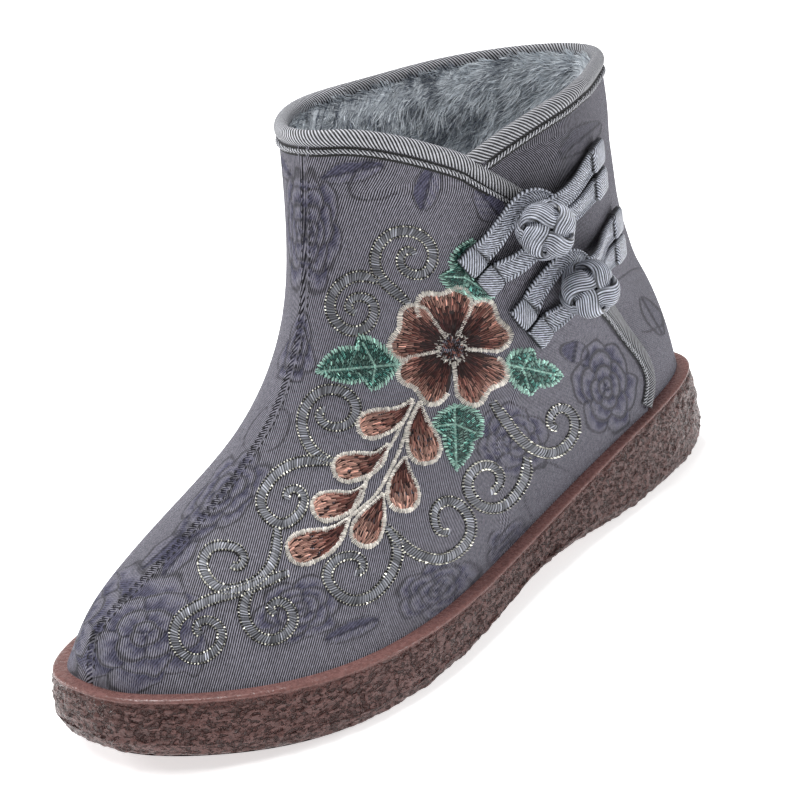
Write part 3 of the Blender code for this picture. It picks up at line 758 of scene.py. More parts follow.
def fibre_group():
    """Soft blotches and fine fibres from object coordinates: a value round one and a height."""
    tree, given, result = new_group(
        "Fibre grain",
        {
            "Place": ("NodeSocketVector", None),
            "Scale": ("NodeSocketFloat", 900.0),
            "Amount": ("NodeSocketFloat", 0.3),
        },
        {"Value": "NodeSocketFloat", "Height": "NodeSocketFloat"},
    )
    if given is None:
        return tree
    fine = add_node(
        tree, "ShaderNodeTexNoise",
        {"Vector": given.outputs["Place"], "Scale": given.outputs["Scale"], "Detail": 5.0, "Roughness": 0.65},
    )
    centred = calc(tree, "SUBTRACT", fine.outputs[0], 0.5)
    value = calc(tree, "MULTIPLY_ADD", centred, given.outputs["Amount"], 1.0)
    tree.links.new(value, result.inputs["Value"])
    tree.links.new(fine.outputs[0], result.inputs["Height"])
    return tree


def new_material(name):
    """Material with its tree, its shader and the object coordinates."""
    material = bpy.data.materials.new(name)
    material.use_nodes = True
    tree = material.node_tree
    shader = tree.nodes["Principled BSDF"]
    place = tree.nodes.new("ShaderNodeTexCoord").outputs["Object"]
    return material, tree, shader, place


def use_group(tree, group, **inputs):
    """Group node of a shared effect with its inputs set or linked."""
    return add_node(tree, "ShaderNodeGroup", inputs, node_tree=group)


def twill(tree, lay, period, turn, contrast, unevenness):
    """Height of slanted ridges over flat coordinates."""
    inputs = {"Lay": lay, "Period": period, "Turn": turn, "Contrast": contrast, "Unevenness": unevenness}
    return use_group(tree, twill_group(), **inputs).outputs["Height"]


def fibre(tree, place, scale, amount):
    """Value and height of the fibre grain."""
    node = use_group(tree, fibre_group(), Place=place, Scale=scale, Amount=amount)
    return node.outputs["Value"], node.outputs["Height"]


def flat_lay(tree):
    """Output of a piece's flat coordinates."""
    return add_node(tree, "ShaderNodeUVMap", uv_map="Lay").outputs[0]


def scaled_colour(tree, colour, value):
    """Colour times a value."""
    node = add_node(tree, "ShaderNodeVectorMath", {0: colour, 3: value}, operation="SCALE")
    return node.outputs[0]


def attribute(tree, name):
    """Output of a named attribute as a value."""
    return add_node(tree, "ShaderNodeAttribute", attribute_name=name).outputs["Fac"]


def dimmed(tree, name, amount):
    """One less an amount of a named attribute."""
    return calc(tree, "MULTIPLY_ADD", attribute(tree, name), -amount, 1.0)


def bumped(tree, height, distance, strength=1.0):
    """Normal bent by a height."""
    inputs = {"Strength": strength, "Distance": distance, "Height": height}
    return add_node(tree, "ShaderNodeBump", inputs).outputs[0]


def cloth_material(name, colours, turn):
    """Grey twill whose woven flowers turn darker, their edges broken by the threads."""
    material, tree, shader, place = new_material(name)
    lay = flat_lay(tree)
    ridges = twill(tree, lay, 0.55, turn, 0.8, 1.3)
    weft = twill(tree, lay, 0.62, turn - 0.5, 0.34, 1.6)
    grain, fuzz = fibre(tree, place, 1000.0, 1.3)
    broad, _ = fibre(tree, place, 28.0, 0.25)
    centred = calc(tree, "SUBTRACT", ridges, 0.5)
    broken = calc(tree, "MULTIPLY_ADD", centred, -0.4, attribute(tree, "woven"))
    woven = ramp(tree, broken, 0.2, 0.75, interpolation_type="SMOOTHSTEP")
    # Painted shade and light: colour runs from near-black twill grooves to light ridges, on the ground and on
    # the figure's ribs
    ground = mix_colours(tree, ridges, colours.cloth_groove_shade, colours.cloth)
    figure = mix_colours(tree, weft, colours.figure_groove_shade, colours.figure)
    colour = mix_colours(tree, calc(tree, "MULTIPLY", woven, attribute(tree, "filled")), ground, figure)
    drawn = calc(tree, "MULTIPLY_ADD", centred, -0.3, attribute(tree, "drawn"))
    rim = ramp(tree, drawn, 0.25, 0.8, 1.0, 0.42)
    # Painted shade: darkens the back quarter below the wrap edge and the upper frog
    shade = calc(tree, "MULTIPLY", dimmed(tree, "dusk", 0.35), rim)
    value = calc(tree, "MULTIPLY", calc(tree, "MULTIPLY", grain, broad), shade)
    height = calc(tree, "MULTIPLY_ADD", woven, -0.5, calc(tree, "MULTIPLY_ADD", fuzz, 0.7, ridges))
    set_inputs(tree, shader, {
        "Base Color": scaled_colour(tree, colour, value),
        "Roughness": 0.8,
        "Specular IOR Level": 0.25,
        "Normal": bumped(tree, height, 0.0002, 0.8),
    })
    return material


def tape_material(name, colours, turn):
    """Folded twill tape with strong slanted ridges."""
    material, tree, shader, place = new_material(name)
    ridges = twill(tree, flat_lay(tree), 0.88, turn, 0.8, 1.0)
    grain, _ = fibre(tree, place, 900.0, 0.5)
    # Painted shade and highlight: near-black grooves and near-white ridges of the tape's twill
    colour = mix_colours(tree, ridges, colours.tape_groove_shade, colours.tape)
    # Painted shade: darkens the wrap part of the front tape and the back tape inside the collar
    value = calc(tree, "MULTIPLY", grain, dimmed(tree, "dusk", 0.45))
    set_inputs(tree, shader, {
        "Base Color": scaled_colour(tree, colour, value),
        "Roughness": 0.62,
        "Normal": bumped(tree, ridges, 0.00045),
    })
    return material


def cord_material(colours):
    """Braided satin cord: slanted threads in the middle and the other slant along both edges."""
    material, tree, shader, place = new_material("cord")
    lay = flat_lay(tree)
    middle = twill(tree, lay, 0.64, 0.75, 0.48, 1.8)
    border = twill(tree, lay, 0.74, -0.75, 0.5, 1.2)
    grain, _ = fibre(tree, place, 1000.0, 0.8)
    height = add_node(tree, "ShaderNodeMix", {0: attribute(tree, "edge"), 2: middle, 3: border}).outputs[0]
    # Painted shade and highlight: near-black grooves and near-white ridges of the braid
    colour = mix_colours(tree, height, colours.cord_groove_shade, colours.cord)
    # Painted shade: the gap attribute darkens strap undersides, the crease at the folded ends, the sides of
    # the ball's strands and its core
    value = calc(tree, "MULTIPLY", grain, dimmed(tree, "gap", 0.92))
    set_inputs(tree, shader, {
        "Base Color": scaled_colour(tree, colour, value),
        "Roughness": 0.4,
        "Normal": bumped(tree, height, 0.0004),
    })
    return material


def thread_material(name, roughness):
    """Thread coloured by its own tint, with fine fibres."""
    material, tree, shader, place = new_material(name)
    tint = add_node(tree, "ShaderNodeAttribute", attribute_name="tint").outputs["Color"]
    grain, _ = fibre(tree, place, 1600.0, 0.3)
    set_inputs(tree, shader, {
        "Base Color": scaled_colour(tree, tint, grain),
        "Roughness": roughness,
        "Specular IOR Level": 0.35,
    })
    return material


def plush_material(colours):
    """Ground of the fleece: fine strands that flow across flat coordinates."""
    material, tree, shader, _ = new_material("plush ground")
    lay = flat_lay(tree)
    swirl = add_node(tree, "ShaderNodeTexNoise", {"Vector": lay, "Scale": 0.16, "Detail": 1.0}).outputs[1]
    swirl = scaled_colour(tree, swirl, 7.0)
    bent = add_node(tree, "ShaderNodeVectorMath", {0: lay, 1: swirl}, operation="ADD").outputs[0]
    flow = add_node(
        tree, "ShaderNodeMapping", {"Vector": bent, "Rotation": (0, 0, 0.6), "Scale": (0.32, 2.4, 1.0)})
    strand = add_node(
        tree, "ShaderNodeTexNoise", {"Vector": flow.outputs[0], "Scale": 1.0, "Detail": 3.0}).outputs[0]
    share = ramp(tree, strand, 0.3, 0.7)
    # Painted shade: the ground turns dark between the strands drawn on it
    set_inputs(tree, shader, {
        "Base Color": mix_colours(tree, share, colours.fleece_shade, colours.fleece),
        "Roughness": 1.0,
        "Specular IOR Level": 0.0,
        "Normal": bumped(tree, strand, 0.0008, 0.7),
    })
    return material


def rubber_material(colours):
    """Brown crepe rubber: a smooth ledge and a pitted, crumpled wall."""
    material, tree, shader, place = new_material("crepe rubber")
    crepe = attribute(tree, "crepe")
    squat = add_node(tree, "ShaderNodeVectorMath", {0: place, 1: (1.0, 1.0, 1.6)}, operation="MULTIPLY")
    wrinkle = add_node(
        tree, "ShaderNodeTexNoise",
        {"Vector": squat.outputs[0], "Scale": 620.0, "Detail": 2.0, "Roughness": 0.6, "Distortion": 0.4})
    pit = ramp(tree, wrinkle.outputs[0], 0.36, 0.52, 1.0, 0.0)
    grain, fuzz = fibre(tree, place, 800.0, 1.3)
    # Painted shade: the rubber is darkened in its pits and in the valleys of the crumpled wall
    crease = calc(tree, "MULTIPLY", attribute(tree, "crease"), 0.4)
    dark = calc(tree, "MAXIMUM", crease, calc(tree, "MULTIPLY", pit, 0.6))
    share = add_node(tree, "ShaderNodeClamp", {0: calc(tree, "MULTIPLY", dark, crepe)}).outputs[0]
    colour = mix_colours(tree, share, colours.rubber, colours.rubber_hollow_shade)
    colour = scaled_colour(tree, colour, dimmed(tree, "crepe", 0.34))
    height = calc(tree, "MULTIPLY_ADD", pit, -1.0, calc(tree, "MULTIPLY", fuzz, 0.4))
    height = calc(tree, "MULTIPLY", height, calc(tree, "MULTIPLY_ADD", crepe, 0.92, 0.08))
    set_inputs(tree, shader, {
        "Base Color": scaled_colour(tree, colour, grain),
        "Roughness": calc(tree, "MULTIPLY_ADD", fuzz, 0.3, 0.12),
        "Specular IOR Level": 0.34,
        "Normal": bumped(tree, height, 0.0009),
    })
    return material


def length_property(name, description, metres):
    """Length setting with its default in metres."""
    return bpy.props.FloatProperty(name=name, description=description, default=metres, unit="LENGTH")


def colour_property(name, description, display):
    """Colour setting with its default given as an 8-bit display colour."""
    return bpy.props.FloatVectorProperty(
        name=name, description=description, subtype="COLOR", size=3, min=0, max=1, default=linear(*display))


class BootSizes(bpy.types.PropertyGroup):
    """Sizes of the boot's soft pieces."""

    roll_width: length_property("Roll width", "Width of the rolled collar tape", 0.0046)
    piping: length_property("Piping", "Radius of the twisted piping", 0.0006)
    pile: length_property("Pile", "Length of the fleece", 0.0058)
    thread: length_property("Thread", "Width of an embroidery thread", 0.00037)
    crepe: length_property("Crepe", "Depth of the sole's crumpled wall", 0.00055)
    ball: length_property("Ball", "Radius of the knotted ball", 0.0080)


class BootColours(bpy.types.PropertyGroup):
    """Colours of the boot."""

    cloth: colour_property("Cloth", "Ridges of the twill", (146, 144, 156))
    # Painted shade: near-black grooves of the twill
    cloth_groove_shade: colour_property("Cloth grooves", "Grooves of the twill", (9, 9, 13))
    figure: colour_property("Woven figure", "Ridges of the woven flowers", (94, 93, 115))
    # Painted shade: dark grooves of the woven flowers' ribs
    figure_groove_shade: colour_property("Figure grooves", "Grooves of the woven flowers", (34, 33, 48))
    # Painted highlight: the tape's ridges are near white
    tape: colour_property("Tape", "Ridges of the tape", (206, 207, 214))
    # Painted shade: near-black grooves of the tape's twill
    tape_groove_shade: colour_property("Tape grooves", "Grooves of the tape", (10, 10, 14))
    # Painted highlight: the braid's ridges are near white
    cord: colour_property("Cord", "Threads of the frogs", (218, 223, 238))
    # Painted shade: near-black grooves of the braid
    cord_groove_shade: colour_property("Cord grooves", "Grooves of the frogs", (12, 12, 18))
    fleece: colour_property("Fleece", "Tips of the pile", (244, 250, 255))
    # Painted shade: dark colour at the roots of the pile and between its strands
    fleece_shade: colour_property("Fleece depth", "Roots of the pile", (78, 86, 101))
    rubber: colour_property("Rubber", "Sole", (114, 80, 76))
    # Painted shade: dark colour in the pits and creases of the sole
    rubber_hollow_shade: colour_property("Rubber creases", "Creases of the sole", (22, 13, 12))
    petal_dark: colour_property("Petal base", "Dark thread of the petals", (56, 25, 25))
    petal: colour_property("Petal", "Middle thread of the petals", (134, 84, 75))
    petal_light: colour_property("Petal edge", "Light thread of the petals", (220, 174, 158))
    cream: colour_property("Cream", "Borders of petals and buds", (246, 240, 232))
    leaf: colour_property("Leaf", "Border of the leaves", (196, 240, 226))
    leaf_dark: colour_property("Leaf inside", "Inside of the leaves", (48, 98, 91))
    satin: colour_property("Scroll", "Satin of the scrolls", (196, 198, 208))
    gold: colour_property("Gold", "Light dots along the scrolls", (232, 230, 218))
    black: colour_property("Black", "Dark dots and stitches", (18, 17, 21))
    floor: colour_property("Floor", "Studio floor", (252, 252, 252))


def woven_figure(points):
    """Shares of woven figure and of its drawn lines: roses, pointed leaves and vines.

    A rose has rings of scalloped petals, each dark at its base and pale toward a drawn rim. A
    leaf is darker on one side of its rib. A vine is an arc of an ellipse. Points on the inner
    side of the boot take the figure of their mirror image.
    """
    mirrored = points * np.array([1, 0, 1]) + np.abs(points * np.array([0, 1, 0]))
    sheet = to_sheet(mirrored)
    wobble = value_noise(sheet[..., 0] / 13, sheet[..., 1] / 13, 3) - 0.5
    share = np.zeros(points.shape[:-1])
    drawn = np.zeros(points.shape[:-1])
    for number, motif in enumerate(MOTIFS):
        turn = math.radians(motif.turn)
        x = sheet[..., 0] - motif.x
        y = motif.y - sheet[..., 1]
        a = (x * math.cos(turn) + y * math.sin(turn)) / (motif.length / 2)
        b = (y * math.cos(turn) - x * math.sin(turn)) / (motif.width / 2)
        radius = np.hypot(a, b) * (1 + 0.22 * wobble)
        bearing = np.arctan2(b, a)
        pen = min(motif.length, motif.width) / 2 / LINE_WIDTH
        if motif.kind == "rose":
            inner = 0.0
            for ring, petals, phase in ROSE_RINGS:
                across = 2 * ((petals * bearing / (2 * math.pi) + phase + 0.37 * number) % 1.0) - 1
                edge = ring * (1 - 0.2 * np.abs(across) ** 2.5)
                inside = ease((radius - inner) / 0.04) * ease((edge - radius) / 0.04)
                climb = np.clip((radius - inner) / (edge - inner), 0, 1)
                streak = 0.12 * np.sin(9 * across + 5 * radius + number)
                tone = np.clip(1.0 - 0.85 * climb + 0.25 * across + streak, 0, 1)
                share = np.maximum(share, inside * tone)
                parting = np.exp(-((1 - np.abs(across)) * math.pi * radius / petals * pen) ** 2) * inside
                drawn = np.maximum(drawn, np.maximum(np.exp(-((radius - edge) * pen) ** 2), parting))
                inner = edge
        elif motif.kind == "leaf":
            blade = np.clip(1 - a * a, 0, 1) ** 0.8 * (0.85 + 0.3 * wobble)
            veins = 0.2 * np.sin(15 * (a + 0.8 * np.abs(b)))
            tone = np.clip(0.7 + 0.25 * np.tanh(9 * b) + veins, 0, 1)
            share = np.maximum(share, ease((blade - np.abs(b)) / 0.16) * tone)
            lines = np.maximum(np.exp(-((blade - np.abs(b)) * pen) ** 2), np.exp(-(b * pen) ** 2))
            drawn = np.maximum(drawn, (np.abs(a) < 0.97) * lines)
        else:
            drawn = np.maximum(drawn, np.exp(-((radius - 1) * pen) ** 2) * (np.abs(bearing) < 2.0))
    return np.stack([share, drawn])


class BOOT_OT_sole(bpy.types.Operator):
    """Adds the rubber sole with its smooth ledge, crumpled wall and plain tread."""

    bl_idname = "boot.sole"
    bl_label = "Sole"

    def execute(self, context):
        sizes = context.scene.boot_sizes
        angle = np.radians(np.linspace(0, 360, SOLE_COLUMNS + 1))
        profile = np.array([
            # inset, share of flare, share of top height, share of tread height, extra, crepe
            (LEDGE_WIDTH + 0.0040, 1.00, 1.0, 0.0, -0.0002, 0.0),
            (LEDGE_WIDTH + 0.0004, 1.00, 1.0, 0.0, 0.0, 0.0),
            (0.0030, 1.00, 1.0, 0.0, 0.0, 0.0),
            (0.0016, 1.00, 1.0, 0.0, -0.0001, 0.0),
            (0.0008, 1.00, 1.0, 0.0, -0.0003, 0.0),
            (0.0004, 1.00, 1.0, 0.0, -0.0007, 0.0),
            (0.0004, 1.00, 1.0, 0.0, -0.0011, 0.1),
            (0.0009, 1.00, 1.0, 0.0, -0.0015, 0.3),
            (0.0004, 1.00, 1.0, 0.0, -0.0020, 0.8),
            (0.0000, 0.90, 1.0, 0.0, -0.0032, 1.0),
            (0.0000, 0.35, 0.6, 0.4, 0.0, 1.0),
            (0.0000, 0.00, 0.3, 0.7, 0.0, 1.0),
            (0.0003, 0.00, 0.0, 1.0, 0.75 * BOTTOM_ROUND, 1.0),
            (0.30 * BOTTOM_ROUND, 0.0, 0.0, 1.0, 0.27 * BOTTOM_ROUND, 1.0),
            (0.85 * BOTTOM_ROUND, 0.0, 0.0, 1.0, 0.0, 0.6),
        ])
        counts = [1, 2, 2, 2, 2, 2, 2, 2, 2, 14, 10, 8, 6, 4]
        rows = np.concatenate([np.arange(c) / c + i for i, c in enumerate(counts)] + [[len(profile) - 1.0]])
        steps = between(rows, np.arange(len(profile)), profile)
        inset, flare, of_top, of_bottom, extra, crepe = steps.T[:, :, None]
        x, y = sole_outline(angle[None, :] + 0 * inset, inset, flare)
        z = of_top * sole_top(x) + of_bottom * sole_bottom(x) + extra
        points = np.stack([x, y, z], axis=-1)
        lay = grid_lengths(points)
        run = lay[..., 0].mean(axis=0)[None, :] + 0 * lay[..., 0]
        down = lay[..., 1]
        girth = run[0, -1]
        warp = 1.4 * (value_noise(run / girth * 110, down / 3, 5, 110) - 0.5)
        lump = np.zeros_like(run)
        for length, height, seed, weight in CREPE_LUMPS:
            count = round(girth / length)
            cell = value_noise(run / girth * count, (down + warp) / height, seed, count)
            lump = lump + weight * np.abs(2 * cell - 1) ** 0.7
        along = np.gradient(points, axis=1)
        below = np.gradient(points, axis=0)
        out = -unit(np.cross(along, below))
        share = crepe + 0 * run
        lift = sizes.crepe * (2.4 * lump - 1.5) * share
        points = points + lift[..., None] * out
        points[..., 2] = np.maximum(points[..., 2], 0.0)
        # Painted shade: marks the valleys between the wall's lumps, and the whole tread a little, for
        # darkening
        crease = ease((0.46 - lump) / 0.25)
        tread = sole_strip(*TREAD_GRID, 0.80 * BOTTOM_ROUND)
        tread = np.concatenate([tread, sole_bottom(tread[..., :1]) + 0.00002], axis=-1)
        quads = np.concatenate([
            grid_quads(*points.shape[:2])[:, ::-1],
            grid_quads(*TREAD_GRID) + points.shape[0] * points.shape[1],
        ])
        joined = np.concatenate([points.reshape(-1, 3), tread.reshape(-1, 3)])
        more = np.ones(math.prod(TREAD_GRID))
        values = {
            "crepe": np.concatenate([share.ravel(), 0.5 * more]),
            "crease": np.concatenate([crease.ravel(), 0.4 * more]),
        }
        flat = np.stack([run, down], axis=-1).reshape(-1, 2)
        flat = np.concatenate([flat, tread[..., :2].reshape(-1, 2) * 1000])
        material = rubber_material(context.scene.boot_colours)
        add_piece("rubber_sole", joined, quads, material, lay=flat, values=values, nodes=("outsole",))
        return {"FINISHED"}


class BOOT_OT_cloth(bpy.types.Operator):
    """Adds the front panel and the back quarter of the upper with folds and woven flowers."""

    bl_idname = "boot.cloth"
    bl_label = "Cloth"

    def execute(self, context):
        colours = context.scene.boot_colours
        share, climb = self.grid(*FRONT_GRID)
        level = climb * collar_level(NOTCH_ANGLE * share)
        degrees = share * wrap_angle(level)
        self.add("front_panel", degrees, level, True, cloth_material("front cloth", colours, 3.07))
        share, climb = self.grid(*BACK_GRID)
        around = NOTCH_ANGLE - 8 + share * (368 - NOTCH_ANGLE)
        level = climb * collar_level(np.maximum(around, NOTCH_ANGLE))
        start = wrap_angle(level) - 8
        degrees = start + share * (360 - start)
        self.add("back_quarter", degrees, level, False, cloth_material("back cloth", colours, 3.0))
        return {"FINISHED"}

    def grid(self, columns, rows):
        """Shares round and up a panel, the lowest row just below the feather edge."""
        return np.linspace(0, 1, columns)[None, :], np.linspace(-0.012, 1, rows)[:, None]

    def add(self, name, degrees, level, lapped, material):
        """Adds one sheet over a grid of angles and levels."""
        points, normal = cloth_frame(degrees, level, lapped)
        turned = np.minimum(np.abs(degrees), np.abs(360 - degrees))
        near = np.linalg.norm(points - smooth_surface(0 * degrees, level), axis=-1)
        groove = -0.0004 * np.exp(-(near / 0.0006) ** 2)
        groove = groove + 0.0002 * np.exp(-((near - 0.0016) / 0.0009) ** 2)
        groove = np.where(turned < 40, groove, 0.0)
        points = points + groove[..., None] * normal
        # Painted shade: none on the front panel; on the back quarter darkest high up, toward the wrap edge
        # and the upper frog
        dusk = np.zeros_like(level)
        if not lapped:
            dusk = ease((level - 2.6) / 1.6) * ease((135 - degrees) / 45)
            tuck = ease((wrap_angle(level) + 1 - degrees) / 4)
            points = points - 0.0006 * tuck[..., None] * normal
        facing = (normal * np.where(points[..., 1:2] < 0, (1, -1, 1), (1, 1, 1))) @ view_axes()[0]
        woven, drawn = woven_figure(points) * ease((facing - 0.12) / 0.2)
        filled = np.maximum(0.3, ease((degrees - 190) / 30)) if not lapped else np.ones_like(level)
        add_piece(name, points, grid_quads(*points.shape[:2]), material, lay=flatten(points),
                  values={"woven": woven, "drawn": drawn, "filled": filled, "dusk": dusk}, nodes=("upper",))


class BOOT_OT_lining(bpy.types.Operator):
    """Adds the fleece: a soft ground down to the footbed and a deep pile near the collar."""

    bl_idname = "boot.lining"
    bl_label = "Lining"

    def execute(self, context):
        sizes = context.scene.boot_sizes
        colours = context.scene.boot_colours
        degrees, climb = np.meshgrid(np.linspace(0, 360, 181), np.linspace(0.0, 1, 60))
        level = climb * (collar_level(degrees) - 0.03)
        points, normal = surface_frame(degrees, level)
        lump = value_noise(degrees / 3.1, level * 9, 8)
        below = collar_level(degrees) - level
        points = points - (0.0012 + 0.0022 * ease(below / 0.22) + 0.0010 * lump)[..., None] * normal
        ground = plush_material(colours)
        add_piece("fleece_ground", points, grid_quads(*points.shape[:2])[:, ::-1], ground,
                  lay=grid_lengths(points))
        bed = sole_strip(*FOOTBED_GRID, LEDGE_WIDTH + 0.004, 1.0)
        height = sole_top(bed[..., 0]) + 0.0048 + 0.0008 * value_noise(*np.moveaxis(bed * 400, -1, 0), 2)
        bed = np.concatenate([bed, height[..., None]], axis=-1)
        add_piece("footbed", bed, grid_quads(*FOOTBED_GRID)[:, ::-1], ground,
                  lay=bed[..., :2] * 1000, nodes=("insole",))
        self.pile(sizes, colours)
        return {"FINISHED"}

    def pile(self, sizes, colours):
        """Adds the strands: tapered ribbons that lean together in clumps and droop at their tips."""
        count = STRAND_COUNT
        chance = np.random.default_rng(11)
        degrees = chance.uniform(0, 360, count)
        drop = chance.uniform(0, 1, count) ** 1.1 * 1.7
        level = collar_level(degrees) - 0.06 - drop
        points, normal = surface_frame(degrees, level)
        around = unit(smooth_surface(degrees + 0.1, level) - points)
        upward = np.cross(normal, around)
        clump_a = value_noise(degrees / 4.5, level * 6, 21) - 0.5
        clump_b = value_noise(degrees / 4.5, level * 6, 22) - 0.5
        near = 1 - ease(drop / 0.35)
        lean_a = 0.8 + 1.1 * clump_a + 0.12 * chance.normal(size=count)
        lean_b = -0.5 + 0.9 * near + 1.1 * clump_b + 0.12 * chance.normal(size=count)
        heading = unit(-0.42 * normal + lean_a[:, None] * around + lean_b[:, None] * upward)
        length = sizes.pile * chance.uniform(0.7, 1.3, count) * (1 - 0.35 * near)
        steps = np.linspace(0, 1, 4)
        root = points - (0.0024 + 0.0008 * (1 - near))[:, None] * normal
        bow = np.stack([chance.normal(size=count), chance.normal(size=count)], axis=-1) * 0.10
        curve = root[:, None] + (length[:, None] * steps)[..., None] * heading[:, None]
        swing = (length[:, None] * steps ** 2)[..., None]
        curve = curve + swing * (bow[:, :1] * around + bow[:, 1:] * upward)[:, None]
        facing = unit(np.cross(heading, -normal + 0.5 * chance.normal(size=(count, 3))))
        width = 0.00015 * chance.uniform(0.6, 1.4, count)[:, None] * np.array([1.0, 0.95, 0.7, 0.15])
        aside = width[..., None] * facing[:, None]
        strip = np.stack([curve - aside, curve + aside], axis=2)
        mottle = 0.6 * value_noise(degrees / 3.4, level * 8, 31) + 0.4 * chance.uniform(0, 1, count)
        # Painted light: the pile is lightened round the heel, where the inner wall catches the light
        heel = 0.5 * np.exp(-((degrees - 180) / 40) ** 2)
        # Painted shade: each strand darkens toward its root; the mottle is the pile's own uneven tone
        tone = np.clip(0.6 + heel + (mottle - 0.5) * 2.2, 0.1, 1)[:, None] * (0.55 + 0.45 * steps)
        tone = np.repeat(tone[:, :, None], 2, axis=2)[..., None]
        tint = np.array(colours.fleece_shade) * (1 - tone) + np.array(colours.fleece) * tone
        quads = grid_quads(4, 2, count)
        add_piece("fleece_pile", strip, quads, thread_material("pile", 0.9), tint=tint)


class BOOT_OT_tapes(bpy.types.Operator):
    """Adds the rolled tapes of collar and wrap, their twisted piping, and dark strips of painted shade beside
    it.
    """

    bl_idname = "boot.tapes"
    bl_label = "Tapes"

    def execute(self, context):
        sizes = context.scene.boot_sizes
        colours = context.scene.boot_colours
        front = tape_material("front tape", colours, -0.64)
        back = tape_material("back tape", colours, 0.64)
        # Painted shade: material of the dark strips beside the piping
        seam = thread_material("tape seam", 0.7)
        wrap_levels = np.linspace(0.03, WRAP_LINE[-1].level, 150)[:-1]
        collar_angles = np.linspace(NOTCH_ANGLE, -95, 260)
        degrees = np.concatenate([wrap_angle(wrap_levels), collar_angles])
        level = np.concatenate([wrap_levels, collar_level(collar_angles)])
        on_collar = ease((np.arange(len(degrees)) - 128) / 30)
        nodes = ("collar_binding", "wrap_binding")
        self.roll("front_tape", degrees, level, on_collar, 1.0, sizes, front, seam, nodes)
        degrees = np.linspace(58, 275, 320)
        level = collar_level(np.maximum(degrees, NOTCH_ANGLE))
        level = level - 0.02 * np.clip(NOTCH_ANGLE - degrees, 0, 20) / 5
        sunk = ease((NOTCH_ANGLE + 5 - degrees) / 8)
        on_collar = np.ones_like(degrees)
        self.roll("back_tape", degrees, level, on_collar, -1.0, sizes, back, seam, nodes[:1], sunk)
        return {"FINISHED"}

    def roll(self, name, degrees, level, on_collar, toward, sizes, material, seam, nodes, sunk=None):
        """Adds a tape whose oval section grows from a flat strip on the panel to a roll over the rim."""
        coarse, _ = cloth_frame(degrees, level)
        places, length = even_path(coarse, 0.00045)
        index = np.arange(len(degrees))
        degrees = np.interp(places, index, degrees)
        level = np.interp(places, index, level)
        share = np.interp(places, index, on_collar)[:, None]
        path, out = cloth_frame(degrees, level)
        if sunk is not None:
            path = path - (0.0011 * np.interp(places, index, sunk))[:, None] * out
        turn = np.linspace(0, 2 * math.pi, 29)[None, :]
        half = sizes.roll_width / 2
        wide = (1 - share) * 0.0021 + share * half
        thick = (1 - share) * 0.0013 + share * 0.0020
        sideways = toward * ((1 - share) * 0.0017 + share * (half - 0.0024) + wide * np.cos(turn))
        height = (1 - share) * 0.0003 - share * 0.0009 + thick * np.sin(turn)
        section = np.stack([sideways, height], axis=-1)
        skin = sweep(path, out, section)
        run = with_ends(np.linspace(0, length, len(path)) * 1000)
        rim = run_lengths(skin[len(skin) // 2]) * 1000
        lay = np.stack(np.broadcast_arrays(run[:, None], rim[None, :]), axis=-1)
        # Painted shade: the wrap part of the front tape, and the back tape inside the collar, are darkened
        dusk = np.maximum(1 - with_ends(share), 0.45 * (toward < 0)) + np.zeros(skin.shape[:2])
        add_piece(name, skin, grid_quads(*skin.shape[:2]), material, lay=lay,
                  values={"dusk": dusk}, nodes=nodes)
        offset = toward * ((1 - share[:, 0]) * 0.0043 + share[:, 0] * (sizes.roll_width - 0.0013))
        self.piping(name + "_piping", path, out, offset, -toward, sizes, material)
        self.seam(name + "_seam", path, out, offset, toward, seam)

    def seam(self, name, path, out, offset, toward, material):
        """Adds two dark flat strips, one on each side of the piping: painted shade in the grooves there."""
        side = unit(np.cross(out, unit(np.gradient(path, axis=0))))
        strips = []
        for shift in (-0.0009, 0.0010):
            middle = path + (offset + toward * shift)[:, None] * side + 0.00012 * out
            strips.append(np.stack([middle - 0.0003 * side, middle + 0.0003 * side], axis=1))
        points = np.stack(strips)
        quads = grid_quads(points.shape[1], 2, 2)
        # Painted shade: the strips are near black
        tint = np.full(points.shape, 0.018)
        add_piece(name, points, quads, material, tint=tint)

    def piping(self, name, path, out, offset, lead, sizes, material):
        """Adds a two-ply twisted cord beside a path: a round section whose radius turns along it."""
        along = unit(np.gradient(path, axis=0))
        side = unit(np.cross(out, along))
        line = path + offset[:, None] * side
        run = run_lengths(line)
        turn = np.linspace(0, 2 * math.pi, 13)[None, :]
        twist = lead * run[:, None] / 0.0016 * math.pi
        radius = sizes.piping * (1 + 0.22 * np.cos(2 * turn - 2 * twist))
        section = np.stack([radius * np.cos(turn), radius * np.sin(turn) + 0.0003], axis=-1)
        skin = sweep(line, out, section, closed_ends=False)
        lay = np.stack(np.broadcast_arrays(run[:, None] * 1000, turn * 0.8), axis=-1)
        add_piece(name, skin, grid_quads(*skin.shape[:2]), material, lay=lay)


def lay_flat(frog, across, above):
    """Angles and levels whose points lie at flat distances back and up from a frog's foot."""
    foot, out = surface_frame(np.array(float(frog.angle)), np.array(frog.level))
    back = smooth_surface(np.array(frog.angle + 0.05), np.array(frog.level)) - foot
    back = unit(back - out * (back @ out))
    axes = np.stack([back, np.cross(out, back)], axis=-1)
    wanted = np.stack([across, above], axis=-1)
    degrees = np.full(across.shape, float(frog.angle))
    level = np.full(across.shape, frog.level)
    for _ in range(12):
        turn, rise = newton_step(lambda a, b: (smooth_surface(a, b) - foot) @ axes, wanted, degrees, level)
        degrees = degrees + np.clip(turn, -15, 15)
        level = level + np.clip(rise, -0.5, 0.5)
    return degrees, level


